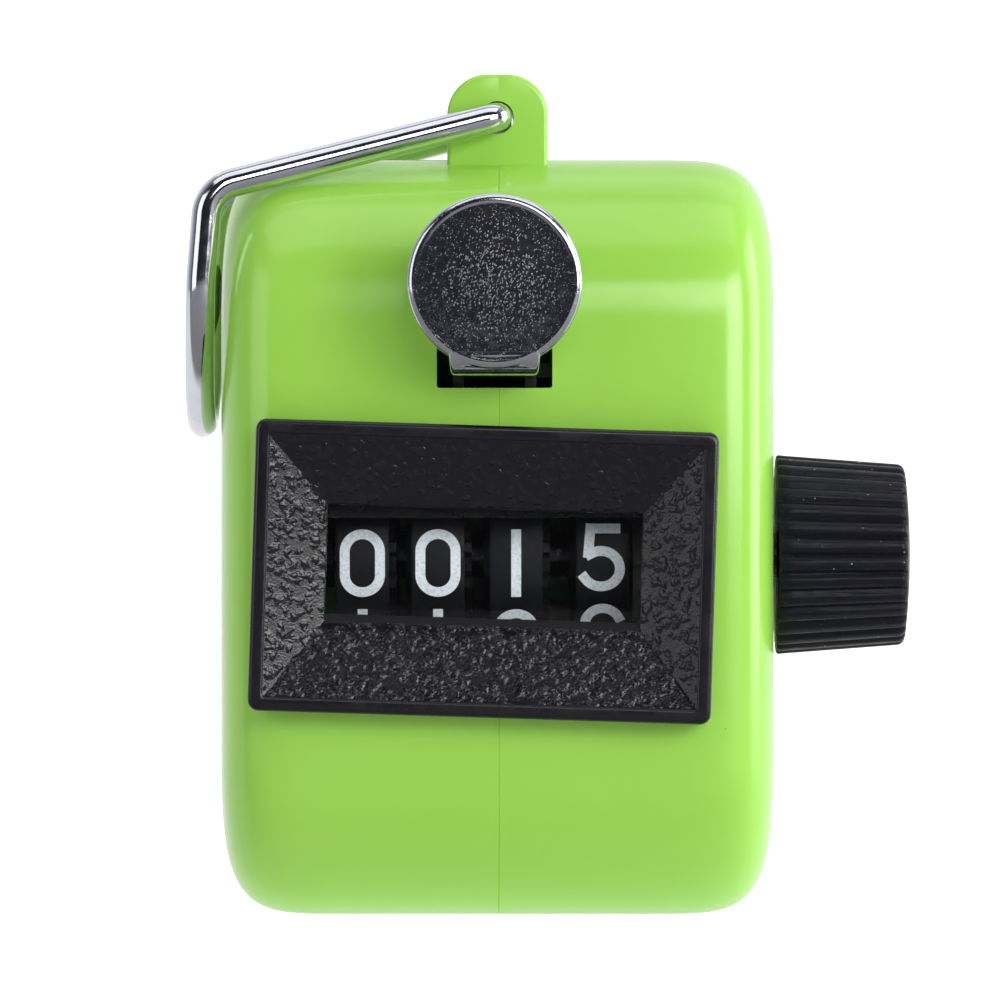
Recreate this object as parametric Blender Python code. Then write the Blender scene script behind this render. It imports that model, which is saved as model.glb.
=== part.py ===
"""Hand tally counter: a four-digit thumb counter in a two-part moulded case.

Frame: X runs to the right along the counter shaft, Y runs to the back, Z runs up.
The origin is on the flat base, at the moulding seam, straight below the counter shaft.
The thumb lever turns on its own pin and its pawl steps the units wheel; transfer pinions
behind the wheels carry each full turn on to the next wheel; the knob turns the shaft.
"""

import math

import bmesh
import bpy
from mathutils import Vector

MM = 0.001

# Case
BODY_WIDTH = 39.6 * MM
BODY_HEIGHT = 54.2 * MM
FRONT_DEPTH = 13.5 * MM  # shaft axis to the flat front face
BACK_DEPTH = 16.5 * MM  # shaft axis to the back face
WALL = 1.8 * MM
LOWER_RADIUS = 11.0 * MM  # side-view corner radius at the base
UPPER_RADIUS = 12.0 * MM  # side-view corner radius at the top front
PALM_RADIUS = 16.0 * MM  # side-view corner radius at the top back
SIDE_BLEND = 10.0 * MM  # how far in from the side wall its soft edge starts
SIDE_DROP = 16.0 * MM  # reach of the same soft edge towards the shaft
SIDE_POWER = 5.0  # exponent of the soft edge's superellipse
SIDE_INSET = 9.0 * MM  # inset at which the side wall is taken as flat
SHAFT_HEIGHT = 25.8 * MM
SMALLEST_CORNER = 0.8 * MM  # least corner radius of the side view inside the shell
BOSS_SINK = 0.15  # of the wall, left outside what is fused into it
BORE_FLOOR = 0.7  # of the wall, left outside a blind bore
PIN_BOSS_WALL = 1.0 * MM
CUT_CORNER = 0.3 * MM  # corner radius of a cut opening
CUT_OVER = 1.0 * MM  # how far a cutter runs past the face that it opens
SEAM_GAP = 0.1 * MM
SEAM_X = 0.1 * MM  # the left half's edge carries the origin

# Clearances
SEAT_GAP = 0.3 * MM  # between pieces that rest on or in each other
RUN_GAP = 0.06 * MM  # radial, between a shaft or pin and what turns on it
SIDE_GAP = 0.35 * MM  # axial, between pieces that turn past each other
TOOTH_GAP = 0.25 * MM  # radial, between tooth tips that pass without driving

# Ear that carries the wire ring
LUG_WIDTH = 7.2 * MM
LUG_RISE = 6.0 * MM  # above the top of the case
LUG_FRONT = -5.0 * MM
LUG_DEPTH = 11.0 * MM
LUG_RADIUS = 2.9 * MM
LUG_HOLE_DROP = 3.1 * MM  # top of the ear to the middle of its hole

# Wire ring
WIRE_RADIUS = 1.03 * MM
RING_HOLE_GAP = 0.14 * MM
RING_STUB = 3.0 * MM  # length of each turned-in end
RING_LOOP_RADIUS = 10.2 * MM
RING_BEND_RADIUS = 2.6 * MM
RING_SHOULDER_DROP = 5.31 * MM  # hinge down to where the shoulder turns into the leg
RING_LENGTH = 21.8 * MM  # hinge down to the lowest point of the loop
RING_SIDE_GAP = 0.45 * MM
RING_SHOULDER_INSET = 0.75 * MM  # shoulder corner, in from the lowest point of the loop
RING_LEG_SPLAY = 0.25 * MM  # top of the loop, in from its lowest point
RING_EYE_BEND = 1.2 * MM  # where the wire turns into the ear

# Number wheels
WHEEL_RADIUS = 9.2 * MM
WHEEL_WIDTH = 3.78 * MM
WHEEL_CENTRES = {
    "thousands_wheel": -9.58 * MM,
    "hundreds_wheel": -4.22 * MM,
    "tens_wheel": 1.33 * MM,
    "units_wheel": 7.47 * MM,
}
RIM_WALL = 0.85 * MM
WEB_RECESS = 0.5 * MM
HUB_WALL = 1.5 * MM
SHAFT_RADIUS = 1.7 * MM
SHAFT_CHAMFER = 0.3 * MM
CLIP_THICKNESS = 0.5 * MM
CLIP_RADIUS = 2.9 * MM
CLIP_GROOVE = 0.35 * MM

# Carry gearing
WHEEL_TEETH = 20
PINION_TEETH = 8
ADDENDUM = 0.6  # of the module
DEDENDUM = 0.85  # of the module
PRESSURE_ANGLE = math.radians(20.0)
BACKLASH = 0.16 * MM
GEAR_FACE = 0.5 * MM  # how far the gear ring stands out of the wheel's rim
CARRY_FACE = 0.4 * MM  # how far the two carry teeth stand out of the rim
CARRY_TOOTH = 0.95 * MM
PINION_DIRECTION = math.radians(-40.0)  # from straight back towards the base
PINION_SHAFT_RADIUS = 0.9 * MM

# Ratchet and click spring
RATCHET_TEETH = 10
RATCHET_RADIUS = 6.8 * MM
RATCHET_DEPTH = 1.4 * MM
RATCHET_WIDTH = 1.3 * MM
CLICK_THICKNESS = 0.3 * MM
CLICK_WIDTH = 1.0 * MM
CLICK_BLOCK_HALF = 1.3 * MM  # half the depth of the block that holds the spring's foot
CLICK_BLOCK_DROP = 2.0 * MM  # block below and above the spring's anchor
CLICK_BLOCK_RISE = 1.0 * MM
CLICK_FOOT = 0.9 * MM  # length of the foot below the anchor
CLICK_ANCHOR_Y = -3.6 * MM
CLICK_ANCHOR_DROP = 7.0 * MM  # below the ratchet's tips
CLICK_NOSE_Y = 0.6 * MM

# Knob
KNOB_LENGTH = 9.6 * MM
KNOB_BORE = 0.7  # of the knob's length
KNOB_BASE_RADIUS = 7.2 * MM
KNOB_END_RADIUS = 6.55 * MM
KNOB_RIBS = 32
KNOB_RIB_DEPTH = 0.28 * MM
KNOB_EDGE = 0.55 * MM
KNOB_DOME = 0.35 * MM

# Thumb lever
SHEET = 1.0 * MM
DISC_RADIUS = 6.14 * MM
DISC_HEIGHT = 19.2 * MM  # above the shaft axis
LEVER_X = -0.2 * MM
NECK_WIDTH = 6.4 * MM
ARM_WIDTH = 6.1 * MM
ARM_UNDERSIDE = 12.64 * MM  # above the shaft axis
DISC_STANDOFF = 4.2 * MM  # front face of the case to the back of the disc
BEND_RADIUS = 0.6 * MM  # inside radius
LEVER_PIN_RADIUS = 0.8 * MM
LEVER_PIN_INSET = 3.6 * MM  # behind the front face
LEVER_PIN_DROP = 1.44 * MM  # below the arm's underside
CROSSBAR_GAP = 2.0 * MM  # inside of the front wall to the crossbar
CROSSBAR_DEPTH = 3.8 * MM
FINGER_OVERHANG = 1.5 * MM  # finger past the pawl's pivot
EAR_THICKNESS = 0.8 * MM
EAR_RADIUS = 1.45 * MM
EAR_SPREAD = 2.55 * MM  # middle of the lever to the middle of an ear
SLOT_WIDTH = 8.13 * MM
SLOT_BOTTOM = 11.82 * MM  # above the shaft axis
SLOT_TOP = 14.74 * MM

# Drive pawl
PAWL_WIDTH = 1.0 * MM
PAWL_PIVOT_Y = 6.8 * MM
PAWL_PIVOT_RISE = 11.4 * MM  # above the shaft axis
PAWL_PIN_RADIUS = 0.6 * MM
PAWL_NOSE_RISE = 0.7 * MM  # above the shaft axis
PAWL_LEG = 1.3 * MM
PAWL_EYE_WALL = 0.6 * MM
RIVET_HEAD = 0.16 * MM  # thin, because it passes the units wheel
RIVET_LIP = 0.3 * MM

# Bezel and window
BEZEL_WIDTH = 32.5 * MM
BEZEL_TALL = 20.5 * MM
BEZEL_X = -0.98 * MM
BEZEL_RISE = -1.08 * MM  # middle of the bezel above the shaft axis
BEZEL_TILT = math.radians(1.8)  # it sits a little crooked in its opening
BEZEL_PROUD = 2.5 * MM
BEZEL_RIM = 1.0 * MM
BEZEL_CORNER = 0.75 * MM
WINDOW_WIDTH = 22.3 * MM
WINDOW_TALL = 8.3 * MM
WINDOW_LIFT = 0.3 * MM  # window middle above bezel middle
WINDOW_SINK = 2.1 * MM  # rim down to the window's edge
WINDOW_LEDGE = 0.45 * MM
LENS_MARGIN = 0.9 * MM
LENS_THICKNESS = 1.0 * MM
SKIRT_WALL = 0.8 * MM
SKIRT_GAP = 0.55 * MM

# Case screws
SCREW_RADIUS = 1.0 * MM
SCREW_HEAD_RADIUS = 1.9 * MM
SCREW_HEAD_HEIGHT = 1.3 * MM
SCREW_LENGTH = 14.0 * MM
SCREW_BOSS_WALL = 1.0 * MM
SCREW_SETBACK = 6.5 * MM  # lower screws, in from the front or back face
SCREW_RISE = 7.2 * MM  # lower screws, up from the base
UPPER_SCREW_SETBACK = 8.5 * MM
UPPER_SCREW_DROP = 9.2 * MM

FACETS = 24
WHEEL_FACETS = 32
ARC_STEPS = 5


# ---------------------------------------------------------------- helpers


def clear_scene():
    for old in list(bpy.data.objects):
        bpy.data.objects.remove(old, do_unlink=True)


def plastic(name, colour, roughness):
    return principled(name, colour, roughness, 0.0)


def metal(name, colour, roughness):
    return principled(name, colour, roughness, 1.0)


def principled(name, colour, roughness, metallic):
    finish = bpy.data.materials.new(name)
    finish.use_nodes = True
    shader = finish.node_tree.nodes["Principled BSDF"]
    shader.inputs["Base Color"].default_value = (*colour, 1.0)
    shader.inputs["Roughness"].default_value = roughness
    shader.inputs["Metallic"].default_value = metallic
    finish.diffuse_color = (*colour, 1.0)
    return finish


def axis_empty(name, location):
    """An empty on a joint's axis, for the pieces that turn about it."""
    empty = bpy.data.objects.new(name, None)
    empty.empty_display_size = 3 * MM
    empty.location = location
    bpy.context.collection.objects.link(empty)
    return empty


def finish_mesh(bm, name):
    bmesh.ops.recalc_face_normals(bm, faces=bm.faces)
    mesh = bpy.data.meshes.new(name)
    bm.to_mesh(mesh)
    bm.free()
    mesh.shade_smooth()
    mesh.set_sharp_from_angle(angle=math.radians(35.0))
    return mesh


def piece(name, mesh, finish, parent=None, location=(0, 0, 0), rotation=(0, 0, 0)):
    obj = bpy.data.objects.new(name, mesh)
    bpy.context.collection.objects.link(obj)
    obj.parent = parent
    obj.location = location
    obj.rotation_euler = rotation
    if not mesh.materials:
        mesh.materials.append(finish)
    return obj


def helper(name, mesh, parent=None, location=(0, 0, 0), rotation=(0, 0, 0)):
    """A cutter or an add-on that is only used by a Boolean."""
    obj = bpy.data.objects.new(name, mesh)
    bpy.context.collection.objects.link(obj)
    obj.parent = parent
    obj.location = location
    obj.rotation_euler = rotation
    obj.hide_render = True
    obj.display_type = "WIRE"
    return obj


def boolean(obj, other, operation):
    step = obj.modifiers.new(operation.lower() + "_" + other.name, "BOOLEAN")
    step.operation = operation
    step.solver = "EXACT"
    step.object = other


def fuse(obj, *others):
    for other in others:
        boolean(obj, other, "UNION")


def cut(obj, *others):
    for other in others:
        boolean(obj, other, "DIFFERENCE")


def loft(bm, rings, start_cap=True, end_cap=True, closed=False):
    """Skins rings of equal point count; closed joins the last ring to the first."""
    loops = [[bm.verts.new(point) for point in ring] for ring in rings]
    pairs = list(zip(loops, loops[1:]))
    if closed:
        pairs.append((loops[-1], loops[0]))
    count = len(loops[0])
    for near, far in pairs:
        for i in range(count):
            j = (i + 1) % count
            bm.faces.new((near[i], near[j], far[j], far[i]))
    if start_cap and not closed:
        bm.faces.new(loops[0])
    if end_cap and not closed:
        bm.faces.new(loops[-1])
    return loops


def turned_solid(stations, facets):
    """Solid of revolution about X through (x, radius) stations, with flat ends."""
    angles = [math.tau * i / facets for i in range(facets)]
    bm = bmesh.new()
    loft(bm, [[(x, *turn(radius, a)) for a in angles] for x, radius in stations])
    return bm


def rod(start_x, end_x, radius, facets=FACETS):
    """A plain cylinder along X."""
    return turned_solid([(start_x, radius), (end_x, radius)], facets)


def turn(radius, angle):
    return radius * math.cos(angle), radius * math.sin(angle)


def circle(radius, facets):
    return [turn(radius, math.tau * i / facets) for i in range(facets)]


def nested(stations):
    """Closed circuit of (outline, x): walls along X, flat rings between outlines."""
    bm = bmesh.new()
    loops = []
    for outline, x in stations:
        verts = [bm.verts.new((x, y, z)) for y, z in outline]
        edges = [bm.edges.new((verts[i - 1], verts[i])) for i in range(len(verts))]
        loops.append((verts, edges))
    for i, (near, near_edges) in enumerate(loops):
        j = (i + 1) % len(loops)
        far, far_edges = loops[j]
        if stations[i][1] == stations[j][1]:
            flat = near_edges + far_edges
            bmesh.ops.triangle_fill(bm, use_beauty=True, edges=flat)
            continue
        for k in range(len(near)):
            bm.faces.new((near[k - 1], near[k], far[k], far[k - 1]))
    return bm


def flat_ring(outline, hole, start_x, end_x):
    """A flat piece of any outline, along X, with a hole through it."""
    return nested(
        [(outline, start_x), (outline, end_x), (hole, end_x), (hole, start_x)]
    )


def along_x(outline, start_x, end_x):
    """Extrudes a (y, z) outline along X."""
    bm = bmesh.new()
    loft(bm, [[(x, y, z) for y, z in outline] for x in (start_x, end_x)])
    return bm


def along_y(outline, start_y, end_y):
    """Extrudes an (x, z) outline along Y."""
    bm = bmesh.new()
    loft(bm, [[(x, y, z) for x, z in outline] for y in (start_y, end_y)])
    return bm


def rounded_box_outline(low, high, radii, steps=ARC_STEPS):
    """Corners (low u, low v), (high u, low v), (high u, high v), (low u, high v)."""
    corners = [
        (high[0], low[1], -90.0),
        (high[0], high[1], 0.0),
        (low[0], high[1], 90.0),
        (low[0], low[1], 180.0),
    ]
    outline = []
    for (u, v, start), radius in zip(corners, radii):
        middle_u = u - math.copysign(radius, u - (low[0] + high[0]) / 2)
        middle_v = v - math.copysign(radius, v - (low[1] + high[1]) / 2)
        for i in range(steps + 1):
            angle = math.radians(start + 90.0 * i / steps)
            outline.append(
                (
                    middle_u + radius * math.cos(angle),
                    middle_v + radius * math.sin(angle),
                )
            )
    return outline


def merge(*parts):
    """Puts several closed shapes, each clear of the others, into one bmesh."""
    whole = bmesh.new()
    for part in parts:
        temporary = bpy.data.meshes.new("temporary")
        bmesh.ops.recalc_face_normals(part, faces=part.faces)
        part.to_mesh(temporary)
        part.free()
        whole.from_mesh(temporary)
        bpy.data.meshes.remove(temporary)
    return whole


def moved(bm, offset):
    bmesh.ops.translate(bm, verts=bm.verts, vec=Vector(offset))
    return bm


# ---------------------------------------------------------------- case


def side_view(inset):
    """The case's side outline, (y, z), moved in everywhere by inset."""
    low = (-FRONT_DEPTH + inset, inset)
    high = (BACK_DEPTH - inset, BODY_HEIGHT - inset)
    lower, palm, upper = (
        max(radius - inset, SMALLEST_CORNER)
        for radius in (LOWER_RADIUS, PALM_RADIUS, UPPER_RADIUS)
    )
    return rounded_box_outline(low, high, (lower, palm, upper, lower))


def soft_edge(inset):
    """How far the case's side has drawn in where its side view is inset."""
    fall = 1.0 - min(inset / SIDE_DROP, 1.0)
    return SIDE_BLEND * (1.0 - (1.0 - fall**SIDE_POWER) ** (1.0 / SIDE_POWER))


def half_case(name, side, finish):
    """One half of the case: an open shell with an even wall, closed at its side."""
    half = BODY_WIDTH / 2
    steps = 7
    insets = [SIDE_INSET * (i / steps) ** 2 for i in range(steps + 1)]
    seam = SEAM_X + side * SEAM_GAP / 2
    outer = [(seam, 0.0)]
    outer += [(side * (half - soft_edge(d)), d) for d in insets]
    inner_insets = [d for d in insets if d < SIDE_INSET - WALL]
    inner = [(seam, WALL)]
    inner += [(side * (half - WALL - soft_edge(d)), d + WALL) for d in inner_insets]
    stations = list(reversed(inner)) + outer
    bm = bmesh.new()
    loft(bm, [[(x, y, z) for y, z in side_view(d)] for x, d in stations])
    shell = piece(name, finish_mesh(bm, name), finish)
    fuse(shell, helper(name + "_ear", finish_mesh(ear_half(side), name + "_ear")))
    fuse(shell, helper(name + "_bosses", finish_mesh(bosses(side), name + "_bosses")))
    return shell


def ear_half(side):
    seam = SEAM_X + side * SEAM_GAP / 2
    root = BODY_HEIGHT - WALL * (1 - BOSS_SINK)
    top = BODY_HEIGHT + LUG_RISE
    outline = [(seam, root), (side * LUG_WIDTH / 2, root)]
    for i in range(ARC_STEPS + 1):
        across, up = turn(LUG_RADIUS, math.pi / 2 * i / ARC_STEPS)
        reach = side * (LUG_WIDTH / 2 - LUG_RADIUS + across)
        outline.append((reach, top - LUG_RADIUS + up))
    outline.append((seam, top))
    return along_y(outline, LUG_FRONT, LUG_FRONT + LUG_DEPTH)


def stack_ends():
    """The X of the wheel stack's left face and of the ratchet's right face."""
    left = WHEEL_CENTRES["thousands_wheel"] - WHEEL_WIDTH / 2
    return left, ratchet_left() + RATCHET_WIDTH


def ratchet_left():
    return WHEEL_CENTRES["units_wheel"] + WHEEL_WIDTH / 2 + SEAT_GAP


def boss_start(side):
    """The X where the case's shaft bosses end, next to the wheel stack."""
    left, right = stack_ends()
    if side < 0:
        return left - CLIP_THICKNESS - 3 * SIDE_GAP
    return right + PAWL_WIDTH + 2 * SIDE_GAP


def bosses(side):
    """Tubes that stand on the inside of a side wall, before their bores are cut."""
    wall_x = side * (BODY_WIDTH / 2 - WALL * (1 - BOSS_SINK))
    inside = boss_start(side)
    shapes = [
        moved(rod(inside, wall_x, SHAFT_RADIUS + HUB_WALL), (0, 0, SHAFT_HEIGHT)),
        moved(
            rod(inside, wall_x, PINION_SHAFT_RADIUS + PIN_BOSS_WALL, 16),
            (0, *pinion_axis()),
        ),
        moved(
            rod(inside, wall_x, LEVER_PIN_RADIUS + PIN_BOSS_WALL, 16),
            (0, *lever_axis_point()),
        ),
    ]
    seam = SEAM_X + side * (SEAM_GAP / 2 + SEAT_GAP)
    for y, z in screw_places():
        shapes.append(
            moved(rod(seam, wall_x, SCREW_HEAD_RADIUS + SCREW_BOSS_WALL, 16), (0, y, z))
        )
    if side > 0:
        y, z = click_anchor()
        outline = rounded_box_outline(
            (y - CLICK_BLOCK_HALF, z - CLICK_BLOCK_DROP),
            (y + CLICK_BLOCK_HALF, z + CLICK_BLOCK_RISE),
            [CUT_CORNER] * 4,
            2,
        )
        shapes.append(along_x(outline, click_left() - SIDE_GAP, wall_x))
    return merge(*shapes)


def screw_places():
    front = -FRONT_DEPTH + SCREW_SETBACK
    back = BACK_DEPTH - SCREW_SETBACK
    return (
        (front, SCREW_RISE),
        (back, SCREW_RISE),
        (BACK_DEPTH - UPPER_SCREW_SETBACK, BODY_HEIGHT - UPPER_SCREW_DROP),
    )


def pinion_axis():
    y, z = turn(gear_centres(), PINION_DIRECTION)
    return y, SHAFT_HEIGHT + z


def lever_axis_point():
    return (
        -FRONT_DEPTH + LEVER_PIN_INSET,
        SHAFT_HEIGHT + ARM_UNDERSIDE - LEVER_PIN_DROP,
    )


def ear_hole():
    return BODY_HEIGHT + LUG_RISE - LUG_HOLE_DROP


def cut_case(left, right):
    """Every opening of the case: window, lever slot, bores, screw holes, ear hole."""
    skirt_low, skirt_high = window_bounds(LENS_MARGIN + SKIRT_WALL + SKIRT_GAP)
    shift = (BEZEL_X, 0.0, SHAFT_HEIGHT + BEZEL_RISE)
    front = -FRONT_DEPTH - CUT_OVER
    behind = -FRONT_DEPTH + WALL + CUT_OVER
    opening = along_y(
        rounded_box_outline(skirt_low, skirt_high, [CUT_CORNER] * 4, 2),
        front,
        behind,
    )
    slot = along_y(
        rounded_box_outline(
            (LEVER_X - SLOT_WIDTH / 2, SHAFT_HEIGHT + SLOT_BOTTOM),
            (LEVER_X + SLOT_WIDTH / 2, SHAFT_HEIGHT + SLOT_TOP),
            [CUT_CORNER] * 4,
            1,
        ),
        front,
        behind,
    )
    hole = along_y(
        circle(WIRE_RADIUS + RING_HOLE_GAP, 16),
        LUG_FRONT - CUT_OVER,
        LUG_FRONT + LUG_DEPTH + CUT_OVER,
    )
    openings = merge(
        moved(opening, shift),
        slot,
        moved(hole, (0, 0, ear_hole())),
    )
    both = helper("case_openings", finish_mesh(openings, "case_openings"))
    for shell, side in ((left, -1), (right, 1)):
        bores = helper(
            shell.name + "_bores",
            finish_mesh(bore_cutters(side), shell.name + "_bores"),
        )
        cut(shell, both, bores)


def bore_cutters(side):
    """Bores of one half: shaft, pinion shaft, lever pin and case screws."""
    half = BODY_WIDTH / 2
    floor_x = side * (half - WALL * BORE_FLOOR)
    open_x = side * (half + CUT_OVER)
    seam = SEAM_X - side * CUT_OVER
    near = boss_start(side) - side * CUT_OVER
    shaft_end = open_x if side > 0 else floor_x
    shapes = [
        moved(rod(near, shaft_end, SHAFT_RADIUS + RUN_GAP), (0, 0, SHAFT_HEIGHT)),
        moved(
            rod(near, floor_x, PINION_SHAFT_RADIUS + SEAT_GAP / 2, 12),
            (0, *pinion_axis()),
        ),
        moved(
            rod(near, floor_x, LEVER_PIN_RADIUS + SEAT_GAP / 2, 12),
            (0, *lever_axis_point()),
        ),
    ]
    for y, z in screw_places():
        if side < 0:
            hole = stepped_rod(seam, screw_head_x(), open_x)
        else:
            depth = screw_head_x() + SCREW_LENGTH + CUT_OVER
            hole = rod(seam, depth, SCREW_RADIUS + SEAT_GAP / 2, 16)
        shapes.append(moved(hole, (0, y, z)))
    if side > 0:
        y, z = click_anchor()
        slit = CLICK_THICKNESS / 2 + SEAT_GAP
        outline = [
            (y - slit, z - CLICK_FOOT - SEAT_GAP),
            (y + slit, z - CLICK_FOOT - SEAT_GAP),
            (y + slit, z + CLICK_BLOCK_RISE + CUT_OVER),
            (y - slit, z + CLICK_BLOCK_RISE + CUT_OVER),
        ]
        right_x = click_left() + CLICK_WIDTH + SEAT_GAP
        shapes.append(along_x(outline, click_left() - 2 * SIDE_GAP, right_x))
    return merge(*shapes)


def stepped_rod(start_x, step_x, end_x):
    """Cutter for a screw: shank hole up to step_x, then a wider hole for the head."""
    shank = SCREW_RADIUS + SEAT_GAP / 2
    head = SCREW_HEAD_RADIUS + SEAT_GAP / 2
    return turned_solid(
        [(start_x, shank), (step_x, shank), (step_x, head), (end_x, head)], 16
    )


def screw_head_x():
    """Where the screw heads seat, on a step deep in the left half's holes."""
    return -BODY_WIDTH / 2 * 0.62


# ---------------------------------------------------------------- gearing


def gear_module():
    """Set by the largest ring of teeth that fits inside a wheel's rim."""
    tip = WHEEL_RADIUS - RIM_WALL - TOOTH_GAP
    return tip / (WHEEL_TEETH / 2 + ADDENDUM)


def gear_centres():
    return gear_module() * (WHEEL_TEETH + PINION_TEETH) / 2


def involute(angle):
    return math.tan(angle) - angle


def gear_outline(teeth, turned_by):
    """Spur gear outline (y, z), one tooth's middle at the angle turned_by."""
    module = gear_module()
    pitch = module * teeth / 2
    base = pitch * math.cos(PRESSURE_ANGLE)
    root = pitch - DEDENDUM * module
    tip = pitch + ADDENDUM * module
    half_tooth = (math.pi * module / 2 - BACKLASH) / 2 / pitch
    flank = []
    for radius in (root, pitch, tip):
        reach = max(radius, base)
        lean = involute(math.acos(base / reach)) - involute(PRESSURE_ANGLE)
        flank.append((radius, half_tooth - lean))
    outline = []
    for i in range(teeth):
        middle = turned_by + math.tau * i / teeth
        outline += [turn(radius, middle - half) for radius, half in flank]
        outline += [turn(radius, middle + half) for radius, half in reversed(flank)]
    return outline


def carry_outline():
    """Disc with the two teeth that step the next pinion once a turn."""
    module = gear_module()
    tip = gear_centres() - module * (PINION_TEETH / 2 + ADDENDUM) - TOOTH_GAP
    disc = tip - CARRY_TOOTH
    pitch_angle = math.tau / WHEEL_TEETH
    outline = []
    for i in range(WHEEL_TEETH):
        middle = PINION_DIRECTION + math.pi / 2 + pitch_angle * i
        if i in (0, 1):
            wide, narrow = pitch_angle * 0.27, pitch_angle * 0.16
            outline.append(turn(disc, middle - wide))
            outline.append(turn(tip, middle - narrow))
            outline.append(turn(tip, middle + narrow))
            outline.append(turn(disc, middle + wide))
        else:
            outline.append(turn(disc, middle))
    return outline


def number_wheel(name, finish, parent, has_gear, has_carry):
    """Drum with recessed sides; its gear ring is on the right, its carry teeth left."""
    half = WHEEL_WIDTH / 2
    web = half - WEB_RECESS
    hub_radius = SHAFT_RADIUS + HUB_WALL
    face = circle(WHEEL_RADIUS, WHEEL_FACETS)
    rim = circle(WHEEL_RADIUS - RIM_WALL, WHEEL_FACETS)
    hub = circle(hub_radius, FACETS)
    bore = circle(SHAFT_RADIUS + RUN_GAP, FACETS)
    inner = circle(hub_radius + 0.6 * MM, FACETS)
    gear = gear_outline(WHEEL_TEETH, PINION_DIRECTION)
    carry = carry_outline()
    gear_end, carry_end = half + GEAR_FACE, -half - CARRY_FACE
    stations = [(bore, -half), (bore, half), (hub, half), (hub, web)]
    if has_gear:
        stations += [(inner, web), (inner, gear_end), (gear, gear_end), (gear, web)]
    stations += [(rim, web), (rim, half), (face, half)]
    stations += [(face, -half), (rim, -half), (rim, -web)]
    if has_carry:
        stations += [(carry, -web), (carry, carry_end)]
        stations += [(inner, carry_end), (inner, -web)]
    stations += [(hub, -web), (hub, -half)]
    mesh = finish_mesh(nested(stations), name)
    return piece(name, mesh, finish, parent, (WHEEL_CENTRES[name], 0, 0))


def transfer_pinion(name, left_wheel, right_wheel, finish, parent):
    """Eight-tooth pinion that sits in the gap between two wheels."""
    left = WHEEL_CENTRES[left_wheel] + WHEEL_WIDTH / 2
    right = WHEEL_CENTRES[right_wheel] - WHEEL_WIDTH / 2
    half = (right - left) / 2 - SIDE_GAP / 2
    half_tooth = math.pi / PINION_TEETH
    outline = gear_outline(PINION_TEETH, PINION_DIRECTION + math.pi + half_tooth)
    bore = circle(PINION_SHAFT_RADIUS + RUN_GAP, 12)
    mesh = finish_mesh(flat_ring(outline, bore, -half, half), name)
    return piece(name, mesh, finish, parent, ((left + right) / 2, 0, 0))


def units_ratchet(finish, parent):
    """Ten saw teeth, one for each figure, beside the units wheel."""
    root = RATCHET_RADIUS - RATCHET_DEPTH
    step = math.tau / RATCHET_TEETH
    outline = []
    for i in range(RATCHET_TEETH):
        start = step * i + math.radians(6.0)
        outline.append(turn(root, start))
        outline.append(turn((root + RATCHET_RADIUS) / 2, start + step * 0.5))
        outline.append(turn(RATCHET_RADIUS, start + step * 0.98))
    bore = circle(SHAFT_RADIUS + RUN_GAP, FACETS)
    bm = flat_ring(outline, bore, 0.0, RATCHET_WIDTH)
    mesh = finish_mesh(bm, "units_ratchet")
    return piece("units_ratchet", mesh, finish, parent, (ratchet_left(), 0, 0))


# ---------------------------------------------------------------- shaft and knob

def clip_x():
    left, _ = stack_ends()
    return left - SIDE_GAP - CLIP_THICKNESS / 2


def knob_start():
    return BODY_WIDTH / 2 + SEAT_GAP


def main_shaft(finish, parent):
    left = -(BODY_WIDTH / 2 - WALL * BORE_FLOOR - SEAT_GAP)
    right = knob_start() + KNOB_LENGTH * KNOB_BORE
    groove = CLIP_THICKNESS / 2 + SEAT_GAP / 2
    middle = clip_x()
    neck = SHAFT_RADIUS - CLIP_GROOVE
    stations = [
        (left, SHAFT_RADIUS - SHAFT_CHAMFER),
        (left + SHAFT_CHAMFER, SHAFT_RADIUS),
        (middle - groove, SHAFT_RADIUS),
        (middle - groove, neck),
        (middle + groove, neck),
        (middle + groove, SHAFT_RADIUS),
        (right - SHAFT_CHAMFER, SHAFT_RADIUS),
        (right, SHAFT_RADIUS - SHAFT_CHAMFER),
    ]
    mesh = finish_mesh(turned_solid(stations, FACETS), "main_shaft")
    return piece("main_shaft", mesh, finish, parent)


def shaft_clip(finish, parent):
    """Open spring clip in the shaft's groove."""
    inner = SHAFT_RADIUS - CLIP_GROOVE + SEAT_GAP / 3
    sweep = [math.radians(-55.0 + 290.0 * i / 20) for i in range(21)]
    outline = [turn(CLIP_RADIUS, a) for a in sweep]
    outline += [turn(inner, a) for a in reversed(sweep)]
    half = CLIP_THICKNESS / 2
    mesh = finish_mesh(along_x(outline, -half, half), "shaft_clip")
    return piece("shaft_clip", mesh, finish, parent, (clip_x(), 0, 0))


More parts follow.
